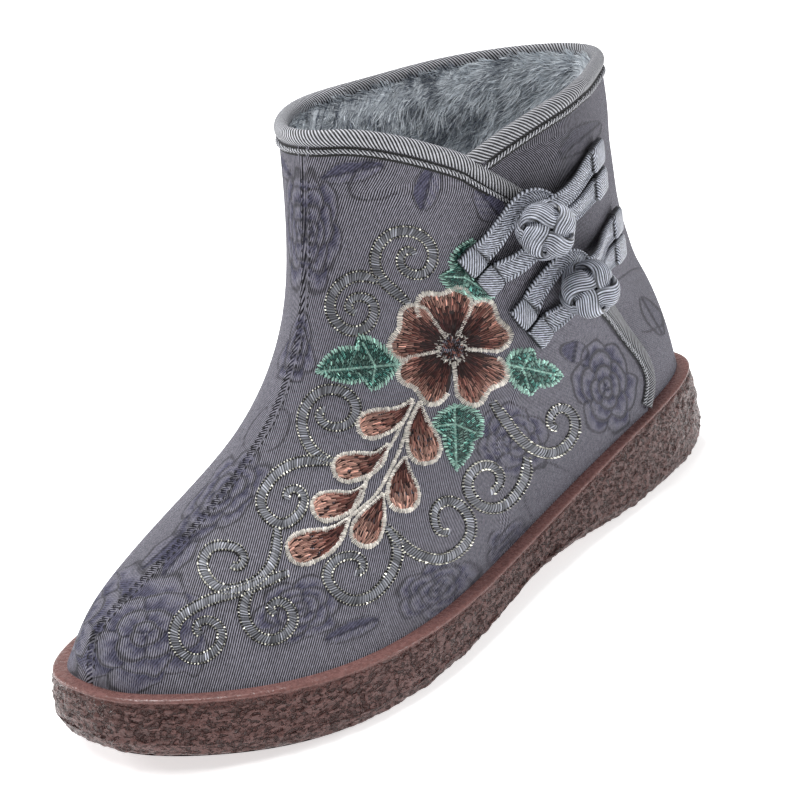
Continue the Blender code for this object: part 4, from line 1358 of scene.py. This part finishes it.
class BOOT_OT_frogs(bpy.types.Operator):
    """Adds the frog fastenings: braided straps with folded ends, and woven ball knots."""

    bl_idname = "boot.frogs"
    bl_label = "Frogs"

    def execute(self, context):
        sizes = context.scene.boot_sizes
        material = cord_material(context.scene.boot_colours)
        for frog in FROGS:
            ring = [(0.0076 * math.cos(t), 0.0076 * math.sin(t)) for t in (2.1, 1.05)]
            half = [(-frog.loop, 0.0042), (0.0060 - frog.loop, 0.0043), (-frog.loop / 2, 0.0053)] + ring
            points = half + [(0.0076, 0.0)] + [(a, -b) for a, b in reversed(half)]
            climb = (frog.climb_from, frog.climb_to, 0.0006, 0.0037)
            self.strap(frog, "_loop", points, frog.loop_tilt, climb, material)
            half = [(frog.tail, frog.spread), (frog.tail - 0.007, frog.spread)]
            half += [(0.018, 0.0034), (0.0105, 0.0030), (0.0055, 0.0026)]
            points = half + [(0.0030, 0.0)] + [(a, -b) for a, b in reversed(half)]
            down = (0.007, 0.028, 0.0046, 0.0006)
            self.strap(frog, "_knot", points, frog.tail_tilt, down, material)
            self.ball(frog, sizes, material)
        return {"FINISHED"}

    def strap(self, frog, suffix, points, tilt, climb, material):
        """Adds a flat strap along a splined hairpin: two rope edges beside a low woven middle."""
        samples = np.linspace(0, 1, 230)
        path = natural_spline(np.linspace(0, 1, len(points)), np.array(points), samples)
        turn = math.radians(tilt)
        across = path[:, 0] * math.cos(turn) - path[:, 1] * math.sin(turn)
        above = path[:, 0] * math.sin(turn) + path[:, 1] * math.cos(turn)
        degrees, level = lay_flat(frog, across, above)
        middle, out = surface_frame(degrees, level)
        start, stop, low, high = climb
        height = low + (high - low) * ease((path[:, 0] - start) / (stop - start))
        middle = middle + (height + 0.0010)[:, None] * out
        run = run_lengths(middle)
        from_end = np.minimum(run, run[-1] - run)
        width = np.interp(from_end, [0, 0.008, 0.018, 0.030], [0.0074, 0.0070, 0.0058, 0.0054])
        reach = 0.0048 if suffix == "_knot" else 0.0031
        turn = np.linspace(0, 2 * math.pi, 33)
        oval = power(np.cos(turn), 0.55)
        crown = power(np.sin(turn), 0.6)
        far = np.abs(oval)
        rope = 0.42 * np.exp(-((far - 0.84) / 0.13) ** 2) - 0.22 * np.exp(-((far - 0.64) / 0.08) ** 2)
        profile = STRAP_THICKNESS * (0.5 * crown + np.where(np.sin(turn) > 0, rope, 0))
        section = np.stack(np.broadcast_arrays(width[:, None] / 2 * oval, profile), axis=-1)
        skin = sweep(middle, out, section)
        run = with_ends(run) * 1000
        lay = np.stack(np.broadcast_arrays(run[:, None], oval[None, :] * 3.0), axis=-1)
        edge = ease((far - 0.66) / 0.06)[None, :] + np.zeros((len(run), 1))
        # Painted shade: the crease where a folded end meets the strap, and the strap's underside
        binding = np.exp(-((with_ends(from_end) - 2 * reach) / 0.0005) ** 2)
        gap = np.maximum(binding[:, None], 1 - ease((np.sin(turn) + 0.1) / 0.4)[None, :])
        add_piece(frog.name + suffix + "_cord", skin, grid_quads(*skin.shape[:2]), material,
                  lay=lay, values={"edge": edge, "gap": gap}, nodes=(frog.name + suffix,))
        along = unit(np.gradient(middle, axis=0))
        half = len(middle) // 2
        first = int(np.argmin(np.abs(from_end[:half] - reach + 0.0003)))
        last = half + int(np.argmin(np.abs(from_end[half:] - reach + 0.0003)))
        for place, end, slant in ((first, "_first", 1.0), (last, "_last", 0.0)):
            at = middle[place], along[place], out[place]
            self.fold(frog.name + suffix + end, *at, reach, slant, material)

    def fold(self, name, centre, along, out, reach, slant, material):
        """Adds a folded end: a rounded block, ribbed by the cord's twill."""
        side = unit(np.cross(out, along))
        turn, rise = np.meshgrid(np.linspace(-1, 1, 49) * math.pi, np.linspace(-1, 1, 17) * math.pi / 2)
        a = reach * power(np.cos(rise), 0.5) * power(np.cos(turn), 0.35)
        b = 0.0039 * power(np.cos(rise), 0.5) * power(np.sin(turn), 0.35)
        c = 0.0015 * power(np.sin(rise), 0.6)
        points = centre + a[..., None] * along + b[..., None] * side + (c + 0.0004)[..., None] * out
        lay = np.stack([a, b], axis=-1) * 1000
        # Painted shade: the block's underside is darkened
        add_piece(name, points, grid_quads(*points.shape[:2]), material, lay=lay,
                  values={"edge": np.full(points.shape[:2], slant), "gap": 1 - ease((rise - 0.1) / 0.4)})

    def ball(self, frog, sizes, material):
        """Adds the ball: one flat strap that runs three times round a sphere while it swings four times.

        Longitude is three times the parameter, latitude a sine of four times it, and the radius
        a sine of eight times it so that the strap passes over and under itself by turns.
        """
        foot, out = surface_frame(np.array(float(frog.angle)), np.array(frog.level))
        back, _, up, _ = view_axes()
        pole = unit(0.35 * out + back)
        first = unit(np.cross(pole, up))
        second = np.cross(pole, first)
        centre = foot + 0.0120 * out
        turn = np.linspace(0, 2 * math.pi, 421)
        spin = 3 * turn + math.radians(frog.spin)
        tilt = math.radians(59) * np.sin(4 * turn)
        radius = sizes.ball - 0.0013 - 0.0011 * np.sin(8 * turn)
        radial = self.ray(spin, tilt, first, second, pole)
        path = centre + radius[:, None] * radial
        angle = np.linspace(0, 2 * math.pi, 25)
        oval = power(np.cos(angle), 0.7)
        sag = -0.0005 * oval ** 2
        section = np.stack([0.0033 * oval, 0.0012 * np.sin(angle) + sag], axis=-1)
        skin = sweep(path, radial, np.broadcast_to(section, (len(turn),) + section.shape), closed_ends=False)
        run = run_lengths(path) * 1000
        lay = np.stack(np.broadcast_arrays(oval[None, :] * 4.1, run[:, None] * 0.16), axis=-1)
        east, north = np.meshgrid(np.linspace(0, 2 * math.pi, 33), np.linspace(-1.5, 1.5, 17))
        core = centre + (sizes.ball - 0.0020) * self.ray(east, north, first, second, pole)
        core_lay = np.stack([east * 6.0, north * 6.0], axis=-1)
        points = np.concatenate([skin.reshape(-1, 3), core.reshape(-1, 3)])
        # Painted shade: the sides of the strands, and the core sphere under them, are darkened
        gap = np.broadcast_to(ease((np.abs(oval) - 0.86) / 0.12) * 0.8, skin.shape[:2])
        gap = np.concatenate([gap.ravel(), np.full(core.shape[0] * core.shape[1], 0.9)])
        quads = grid_quads(*core.shape[:2]) + skin.shape[0] * skin.shape[1]
        quads = np.concatenate([grid_quads(*skin.shape[:2]), quads])
        add_piece(frog.name + "_ball", points, quads, material,
                  lay=np.concatenate([lay.reshape(-1, 2), core_lay.reshape(-1, 2)]),
                  values={"edge": np.zeros(len(points)), "gap": gap}, nodes=(frog.name + "_knot",))

    def ray(self, east, north, first, second, pole):
        """Unit vectors at a longitude and a latitude round a pole."""
        flat = np.cos(east)[..., None] * first + np.sin(east)[..., None] * second
        return np.cos(north)[..., None] * flat + np.sin(north)[..., None] * pole


LONG_STITCH = np.array([[0.0, 0.14, 0.5, 0.86, 1.0], [-0.25, 0.72, 1.0, 0.72, -0.25], [0.6, 1, 1, 1, 0.6]])
SHORT_STITCH = np.array([[0.0, 0.5, 1.0], [-0.1, 1.0, -0.1], [0.7, 1, 0.7]])


class Threads:
    """Collects embroidery stitches drawn on the sheet and lays them on the cloth as half-round strips."""

    def __init__(self, seed):
        self.parts = {True: [], False: []}
        self.chance = np.random.default_rng(seed)

    def add(self, starts, ends, first, last, width, height, lift=0.0, vary=0.25, short=False, edge=0.36):
        """Adds stitches between sheet points, tinted from the first colour to the last, with painted shade on
        their two sides by the edge share.
        """
        starts = np.asarray(starts, float).reshape(-1, 2)
        ends = np.asarray(ends, float).reshape(-1, 2)
        count = len(starts)
        first = np.broadcast_to(np.asarray(first, float), (count, 3))
        last = np.broadcast_to(np.asarray(last, float), (count, 3))
        bright = np.exp(vary * self.chance.normal(size=(count, 1)))
        thick = np.exp(0.14 * self.chance.normal(size=count))
        self.parts[short].append((starts, ends, first * bright, last * bright, width * thick, height * thick,
                                  np.full(count, lift), np.full(count, edge)))

    def dashes(self, starts, ends, stops, size, gap, width, height, lift=0.0, vary=0.3):
        """Adds lines broken into short stitches, tinted by their place between the colour stops."""
        starts = np.asarray(starts, float).reshape(-1, 2)
        ends = np.asarray(ends, float).reshape(-1, 2)
        reach = np.linalg.norm(ends - starts, axis=-1)[:, None]
        pitch = size + gap
        count = int(reach.max() / pitch) + 2
        near = (np.arange(count)[None, :] - self.chance.uniform(0, 1, (len(starts), 1))) * pitch
        far = np.minimum(near + size, reach)
        near = np.maximum(near, 0)
        keep = far - near > 0.3 * size
        heading = (ends - starts)[:, None] / np.maximum(reach, 1e-6)[..., None]
        first = (starts[:, None] + near[..., None] * heading)[keep]
        last = (starts[:, None] + far[..., None] * heading)[keep]
        share = ((near + far) / 2 / reach)[keep] + self.chance.uniform(-0.12, 0.12, keep.sum())
        tint = between(share, np.linspace(0, 1, len(stops)), np.asarray(stops))
        self.add(first, last, tint, tint, width, height, lift, vary)

    def shade_underlay(self, starts, ends, first, last, vary=0.05):
        """Adds broad low dark stitches under an embroidered shape: painted shade that shows in the gaps
        between its threads.
        """
        self.add(starts, ends, first, last, 0.0016, 0.0002, vary=vary)

    def shading(self, starts, ends, tint, width):
        """Adds the uneven stitches that fill a petal or a bud."""
        self.add(starts, ends, tint, tint, width * 0.95, LOW_STITCH, lift=0.0002, vary=0.38, edge=0.25)

    def border(self, line, square, half, colour, width):
        """Adds a ragged satin border across a line."""
        ragged = self.chance.uniform(-0.6, 0.6, (len(line), 2))
        across = half * square + ragged
        self.add(line + across, line - across, colour, colour * 0.95, width * 1.1, HIGH_STITCH,
                 lift=STITCH_LIFT, vary=0.2, edge=0.5)

    def strips(self, parts, steps, rise, narrow):
        """Points and tints of stitches that rise from the cloth, cross and dip back in."""
        starts, ends, first, last, width, height, lift, edge = (np.concatenate(part) for part in zip(*parts))
        sheet = starts[:, None] * (1 - steps)[:, None] + ends[:, None] * steps[:, None]
        points, normal = cloth_frame(*from_sheet(sheet))
        along = unit(points[:, -1] - points[:, 0])[:, None]
        side = unit(np.cross(normal, along)) * (width[:, None] * narrow)[..., None] / 2
        base = points + (lift[:, None] - 0.25 * height[:, None])[..., None] * normal
        top = points + (lift[:, None] + height[:, None] * rise)[..., None] * normal
        tint = first[:, None] * (1 - steps)[:, None] + last[:, None] * steps[:, None]
        tint = np.repeat(tint[:, :, None], 3, axis=2)
        # Painted shade: the two side rows of each stitch are darkened
        tint[:, :, (0, 2)] *= edge[:, None, None, None]
        return np.stack([base - side, top, base + side], axis=2), tint

    def piece(self, name, material):
        """Makes one mesh of all stitches."""
        points, tints, quads = [], [], []
        total = 0
        for short, stitch in ((False, LONG_STITCH), (True, SHORT_STITCH)):
            if self.parts[short]:
                strip, tint = self.strips(self.parts[short], *stitch)
                points.append(strip.reshape(-1, 3))
                tints.append(tint.reshape(-1, 3))
                quads.append(grid_quads(strip.shape[1], 3, len(strip)) + total)
                total += len(points[-1])
        return add_piece(name, np.concatenate(points), np.concatenate(quads), material,
                         tint=np.concatenate(tints))


def even_line(points, step):
    """Even points along a polyline, with its unit normals and run."""
    run = run_lengths(points)
    places = np.arange(0, run[-1], step)
    line = between(places, run, points)
    return line, beside(unit(np.gradient(line, axis=0))), places / run[-1]


def smooth_line(points, step):
    """Even points along a spline through sheet points, with its unit normals and run."""
    points = np.asarray(points, float)
    run = run_lengths(points)
    return even_line(natural_spline(run, points, np.linspace(0, run[-1], 400)), step)


def settings(context, *names):
    """Width of the embroidery thread and the named colours as arrays."""
    colours = context.scene.boot_colours
    return context.scene.boot_sizes.thread, *(np.array(getattr(colours, name)) for name in names)


class BOOT_OT_flower(bpy.types.Operator):
    """Adds the flower: five two-lobed petals of shaded stitches with satin borders, and its middle."""

    bl_idname = "boot.flower"
    bl_label = "Flower"

    def execute(self, context):
        thread, dark, middle, light, cream = settings(context, "petal_dark", "petal", "petal_light", "cream")
        centre = np.array(FLOWER_CENTRE)
        threads = Threads(5)
        chance = threads.chance
        stops = np.stack([dark, dark * 1.5, middle * 1.05, middle * 0.6 + light * 0.4, light * 0.9])
        for petal in PETALS:
            lean = np.arange(-34, 34.1, 4.0)
            ray = self.edge(lean, petal.reach)[:, None] * self.ray(petal, lean)
            # Painted shade under the petal's threads
            threads.shade_underlay(centre + 0.2 * ray, centre + 0.98 * ray, dark * 0.3, dark * 0.5)
            for share in np.arange(0.24, 0.97, 0.125):
                lean = np.arange(-34.5, 34.6, math.degrees(1.65 / (share * petal.reach)))
                lean = lean + chance.uniform(-0.5, 0.5, len(lean))
                reach = self.edge(lean, petal.reach)
                near = share * reach + chance.uniform(-3, 2.5, len(lean))
                far = np.minimum(near + chance.uniform(7, 11, len(lean)), 0.985 * reach)
                ray = self.ray(petal, lean)
                tone = near / reach + chance.uniform(-0.15, 0.15, len(lean))
                tint = between(tone, (0.2, 0.4, 0.58, 0.75, 0.92), stops)
                threads.shading(centre + near[:, None] * ray, centre + far[:, None] * ray, tint, thread)
            lean = np.concatenate([np.linspace(35.5, -36, 70), np.full(30, -36.0)])
            share = np.concatenate([np.ones(70), np.linspace(1, 0.28, 30)])
            outline = centre + (share * self.edge(lean, petal.reach))[:, None] * self.ray(petal, lean)
            line, square, run = smooth_line(outline[::3], 1.7)
            half = np.interp(run, [0, 0.6, 0.72, 1.0], [2.8, 2.8, 2.2, 1.8])[:, None]
            threads.border(line, square, half, cream, thread)
        count = 260
        turn = chance.uniform(0, 2 * math.pi, count)
        out = 17 * np.sqrt(chance.uniform(0, 1, count))
        ray = np.stack([np.cos(turn), np.sin(turn)], axis=-1)
        spot = centre + out[:, None] * ray
        step = chance.uniform(0.8, 2.0, (count, 1)) * ray + chance.uniform(-0.7, 0.7, (count, 2))
        pick = np.where(out > 10, chance.integers(0, 2, count), chance.integers(1, 3, count))
        palette = np.stack([cream * 0.8, dark * 0.6, middle])[pick]
        threads.add(spot - step, spot + step, palette, palette, thread, LOW_STITCH,
                    lift=STITCH_LIFT, short=True)
        threads.piece("flower", thread_material("petal thread", 0.42))
        return {"FINISHED"}

    def ray(self, petal, lean):
        """Sheet directions at angles to a petal's middle."""
        bearing = np.radians(petal.direction + lean)
        return np.stack([np.cos(bearing), -np.sin(bearing)], axis=-1)

    def edge(self, lean, reach):
        """Outline of a petal: full reach at two lobes, a shallow notch between, falling to the sides."""
        notch = 0.10 * np.cos(math.pi * lean / 36) ** 2
        fall = 0.26 * (np.clip(np.abs(lean) - 18, 0, 18) / 18) ** 2
        return reach * np.where(np.abs(lean) < 18, 1 - notch, 1 - fall)


class BOOT_OT_leaves(bpy.types.Operator):
    """Adds the leaves: three lobes filled from the midrib out, with light satin borders."""

    bl_idname = "boot.leaves"
    bl_label = "Leaves"

    def execute(self, context):
        thread, light, dark = settings(context, "leaf", "leaf_dark")
        threads = Threads(6)
        for leaf in LEAVES:
            base, tip = np.array(leaf.base, float), np.array(leaf.tip, float)
            for half in (leaf[2:6], leaf[6:10]):
                shoulder, lobe, notch, bulge = np.array(half, float)
                spine = base + (tip - base) * 0.3
                outline = np.concatenate([
                    self.blade(base, shoulder, lobe),
                    self.blade(lobe, 0.5 * (lobe + notch), notch)[1:],
                    self.blade(notch, 2 * bulge - 0.5 * (notch + tip), tip)[1:],
                ])
                line, _, share = even_line(outline, 2.0)
                foot = base + (tip - base) * np.clip(0.10 + 0.88 * share ** 0.8, 0, 1)[:, None]
                inward = unit(foot - line)
                depth = np.linalg.norm(foot - line, axis=-1)[:, None]
                order = np.arange(len(line))[:, None]
                saw = 1.3 * ((order * 0.22) % 1.0) + 1.2 * (order % 2) - 1.2
                line = line - saw * inward
                slant = np.roll(line, -1, axis=0) - np.roll(line, 1, axis=0)
                slant[[0, -1]] = 0
                # Painted shade under the leaf's threads
                threads.shade_underlay(line[::2], foot[::2], dark * 0.3, dark * 0.25, 0.1)
                stops = (light * 0.55, dark * 2.4, light * 0.4, dark * 1.6)
                threads.dashes(line + 3.5 * inward, foot, stops, 4.5, 1.2, thread * 0.8, LOW_STITCH,
                               lift=0.0001, vary=0.6)
                threads.add(line, line + inward * np.minimum(depth, 4.8) - 0.6 * slant, light, light * 0.85,
                            thread * 1.1, HIGH_STITCH, lift=STITCH_LIFT, vary=0.25, edge=0.25)
                self.rib(threads, spine, 0.25 * spine + 0.75 * lobe, 1.1, light, thread)
            self.rib(threads, base, tip, 1.3, light, thread)
        threads.piece("leaves", thread_material("leaf thread", 0.42))
        return {"FINISHED"}

    def rib(self, threads, start, stop, half, light, thread):
        """Adds a row of short stitches across a straight rib."""
        line, square, _ = even_line(np.stack([start, stop]), 1.35)
        threads.add(line - half * square, line + half * square, light, light * 0.8, thread * 0.9, LOW_STITCH,
                    lift=STITCH_LIFT, short=True)

    def blade(self, start, bend, stop):
        """Quadratic curve from start to stop, drawn toward the bend."""
        t = np.linspace(0, 1, 14)[:, None]
        return (1 - t) ** 2 * start + 2 * t * (1 - t) * bend + t ** 2 * stop


class BOOT_OT_buds(bpy.types.Operator):
    """Adds the spray of buds: drop shapes of shaded stitches with satin borders, on a double stem."""

    bl_idname = "boot.buds"
    bl_label = "Buds"

    def execute(self, context):
        thread, dark, middle, light, cream = settings(context, "petal_dark", "petal", "petal_light", "cream")
        threads = Threads(7)
        chance = threads.chance
        for points in STEM_LINES:
            line, square, _ = smooth_line(points, 1.7)
            threads.border(line, square, 1.8, cream, thread)
        stops = np.stack([dark * 1.4, middle, middle * 0.4 + light * 0.6, light * 1.1])
        for bud in BUDS:
            tail, bend, head = np.array(bud[:6], float).reshape(3, 2)
            knots = np.stack([tail, bend, head, head + unit(head - bend) * bud.width / 2])
            chord = run_lengths(knots)
            share = np.linspace(0, 1, 80)
            axis = natural_spline(chord / chord[-1], knots, share)
            along = unit(np.gradient(axis, axis=0))
            widest = chord[2] / chord[-1]
            past = np.clip((share - widest) / (1 - widest), 0, 1)
            swell = np.sin(math.pi / 2 * np.clip(share / widest, 0, 1)) ** 1.2
            aside = (swell * np.sqrt(1 - past ** 2) * bud.width / 2)[:, None] * beside(along)
            lane = np.linspace(-0.88, 0.88, 5)
            for first, last in ((0.06, 0.4), (0.35, 0.7), (0.65, 0.95)):
                start, stop = (self.spot(axis, aside, np.full(5, place), lane) for place in (first, last))
                # Painted shade under the bud's threads
                threads.shade_underlay(start, stop, dark * 0.35, dark * 0.5)
            lane = np.linspace(-0.9, 0.9, 19)
            for place in np.arange(0.02, 0.92, 9 / chord[-1]):
                start = np.clip(place + chance.uniform(-0.07, 0.07, 19), 0.02, 0.93)
                stop = np.clip(start + chance.uniform(8, 11, 19) / chord[-1], 0.05, 0.96)
                tone = start + chance.uniform(-0.2, 0.2, 19)
                tint = between(tone, (0.1, 0.35, 0.6, 0.85), stops)
                start, stop = (self.spot(axis, aside, place, lane) for place in (start, stop))
                threads.shading(start, stop, tint, thread)
            outline = np.concatenate([axis + aside, (axis - aside)[::-1]])
            line, square, _ = even_line(outline, 1.7)
            threads.border(line, square, 2.3, cream, thread)
        threads.piece("buds", thread_material("bud thread", 0.42))
        return {"FINISHED"}

    def spot(self, axis, aside, share, lane):
        """Sheet points at shares of a bud's axis, moved sideways by a lane's part of its half width."""
        places = np.linspace(0, 1, len(axis))
        return between(share, places, axis) + lane[:, None] * between(share, places, aside)


class BOOT_OT_scrolls(bpy.types.Operator):
    """Adds the scrolling vines: cross-stitched satin ribbons between two dotted lines."""

    bl_idname = "boot.scrolls"
    bl_label = "Scrolls"

    def execute(self, context):
        thread, satin, gold, black = settings(context, "satin", "gold", "black")
        threads = Threads(8)
        chance = threads.chance
        for points in SCROLLS:
            line, square, share = smooth_line(points, 1.3)
            half = np.interp(share, [0, 0.08, 0.7, 1.0], [3.0, 5.0, 4.7, 3.2])[:, None]
            across = half * square - 1.6 * beside(square)
            tone = chance.uniform(0.6, 1.1, (len(line), 1))
            # Painted shade: every second satin stitch is darkened to stand for the gaps between threads
            tone[1::2] *= 0.3
            threads.add(line - across, line + across, satin * tone, satin * tone, thread * 1.1, HIGH_STITCH,
                        vary=0.3, edge=0.6)
            for direction in (-1, 1):
                edge, _, _ = even_line(line + direction * half * square, 1.7)
                threads.add(edge[:-2:2], edge[2::2], black, black, thread * 2.4, EDGE_STITCH, edge=0.9)
                threads.add(edge[:-1:2], edge[1::2], gold, gold, thread * 1.5, EDGE_STITCH,
                            lift=STITCH_LIFT, vary=0.6, short=True, edge=0.5)
        threads.piece("scrolls", thread_material("scroll thread", 0.45))
        return {"FINISHED"}


class BOOT_OT_stitches(bpy.types.Operator):
    """Adds the rows of seam stitches beside the front seam and the wrap tape."""

    bl_idname = "boot.stitches"
    bl_label = "Stitches"

    def execute(self, context):
        _, black = settings(context, "black")
        strips = []
        level = np.linspace(0.25, 5.80, 500)
        for offset in (-0.0008, 0.0021):
            strips.append(self.row(np.zeros_like(level), level, offset, 0.0011, 0.0021))
        level = np.linspace(0.05, 5.2, 300)
        strips.append(self.row(wrap_angle(level) - 0.3, level, -0.0064, 0.0017, 0.0026))
        strip = np.concatenate(strips)
        tint = np.broadcast_to(2.5 * black, strip.shape)
        add_piece("seam_stitches", strip, grid_quads(4, 3, len(strip)), thread_material("seam thread", 0.6),
                  tint=tint)
        return {"FINISHED"}

    def row(self, degrees, level, offset, size, pitch):
        """Short raised strips at even steps on the cloth, a set way beside a line of angles."""
        width = np.linalg.norm(cloth_frame(degrees + 0.5, level)[0] - cloth_frame(degrees, level)[0], axis=-1)
        line, out = cloth_frame(degrees + 0.5 * offset / width, level)
        side = unit(np.cross(out, unit(np.gradient(line, axis=0))))
        run = run_lengths(line)
        starts = np.arange(0.001, run[-1] - 0.004, pitch)
        places = starts[:, None] + size * np.array([0, 0.3, 0.7, 1.0])
        centre, normal, across = (between(places, run, table) for table in (line, out, side))
        rise = np.array([0.0002, 0.0005, 0.0005, 0.0002])[None, :, None]
        edge = 0.00017 * across
        base = centre + (rise - 0.0001) * normal
        return np.stack([base - edge, centre + (rise + 0.0002) * normal, base + edge], axis=2)


class BOOT_OT_stage(bpy.types.Operator):
    """Adds a pale floor, soft studio light and the camera of the main view."""

    bl_idname = "boot.stage"
    bl_label = "Stage"

    def execute(self, context):
        scene = context.scene
        colours = scene.boot_colours
        mesh = bpy.data.meshes.new("floor")
        mesh.from_pydata([(-6, -6, 0), (6, -6, 0), (6, 6, 0), (-6, 6, 0)], [], [(0, 1, 2, 3)])
        material, tree, shader, _ = new_material("floor")
        set_inputs(tree, shader, {
            "Base Color": (*colours.floor, 1.0),
            "Roughness": 0.9,
            "Specular IOR Level": 0.1,
            "Emission Color": WHITE,
            "Emission Strength": 0.6,
        })
        mesh.materials.append(material)
        floor = add_object("floor", mesh)
        back, right, up, aim = view_axes()
        lens = bpy.data.cameras.new("camera")
        lens.sensor_width = SENSOR
        lens.lens = VIEW_SCALE * VIEW_DISTANCE / SHEET * SENSOR
        lens.clip_start = 0.01
        camera = add_object("camera", lens)
        camera.matrix_world = self.facing(aim + VIEW_DISTANCE * back, right, up, back)
        scene.camera = camera
        lights = (
            # name, right, up, back, size, watts
            ("key light", -0.35, 1.25, 0.1, 0.4, 14.0),
            ("side light", -1.3, 0.45, -0.4, 0.3, 8.0),
            ("front light", -0.5, 0.8, 1.1, 0.35, 6.0),
            ("right light", 1.2, 0.6, 0.3, 0.3, 5.0),
        )
        for name, to_right, to_up, to_back, size, watts in lights:
            lamp = bpy.data.lights.new(name, "AREA")
            lamp.size = size
            lamp.energy = watts
            light = add_object(name, lamp)
            place = aim + to_right * right + to_up * up + to_back * back
            toward = unit(place - aim)
            side = unit(np.cross(up, toward))
            light.matrix_world = self.facing(place, side, np.cross(toward, side), toward)
        world = bpy.data.worlds.new("studio")
        world.use_nodes = True
        background = world.node_tree.nodes["Background"]
        set_inputs(world.node_tree, background, {"Color": WHITE, "Strength": 0.34})
        scene.world = world
        scene.view_settings.view_transform = "Standard"
        return {"FINISHED"}

    def facing(self, place, right, up, back):
        """Matrix that puts an object at a place with those axes."""
        columns = np.stack([right, up, back, place + SHIFT], axis=-1)
        return Matrix(np.concatenate([columns, [[0, 0, 0, 1]]]).tolist())


class BOOT_PT_panel(bpy.types.Panel):
    """Sidebar panel with the sizes, the colours and a button for each piece."""

    bl_idname = "BOOT_PT_panel"
    bl_label = "Boot"
    bl_space_type = "VIEW_3D"
    bl_region_type = "UI"
    bl_category = "Boot"

    def draw(self, context):
        for group in (context.scene.boot_sizes, context.scene.boot_colours):
            for key in group.bl_rna.properties.keys():
                if key not in {"rna_type", "name"}:
                    self.layout.prop(group, key)
        for operator in OPERATORS:
            self.layout.operator(operator.bl_idname)


OPERATORS = (
    BOOT_OT_sole,
    BOOT_OT_cloth,
    BOOT_OT_lining,
    BOOT_OT_tapes,
    BOOT_OT_frogs,
    BOOT_OT_flower,
    BOOT_OT_leaves,
    BOOT_OT_buds,
    BOOT_OT_scrolls,
    BOOT_OT_stitches,
    BOOT_OT_stage,
)
CLASSES = (BootSizes, BootColours) + OPERATORS + (BOOT_PT_panel,)


def register():
    """Registers the classes and adds the settings to the scene."""
    for kind in CLASSES:
        bpy.utils.register_class(kind)
    bpy.types.Scene.boot_sizes = bpy.props.PointerProperty(type=BootSizes)
    bpy.types.Scene.boot_colours = bpy.props.PointerProperty(type=BootColours)


def unregister():
    """Removes the settings and the classes."""
    del bpy.types.Scene.boot_colours
    del bpy.types.Scene.boot_sizes
    for kind in reversed(CLASSES):
        bpy.utils.unregister_class(kind)


def main():
    """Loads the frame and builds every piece."""
    register()
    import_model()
    for operator in OPERATORS:
        group, name = operator.bl_idname.split(".")
        getattr(getattr(bpy.ops, group), name)()


if __name__ == "__main__":
    main()
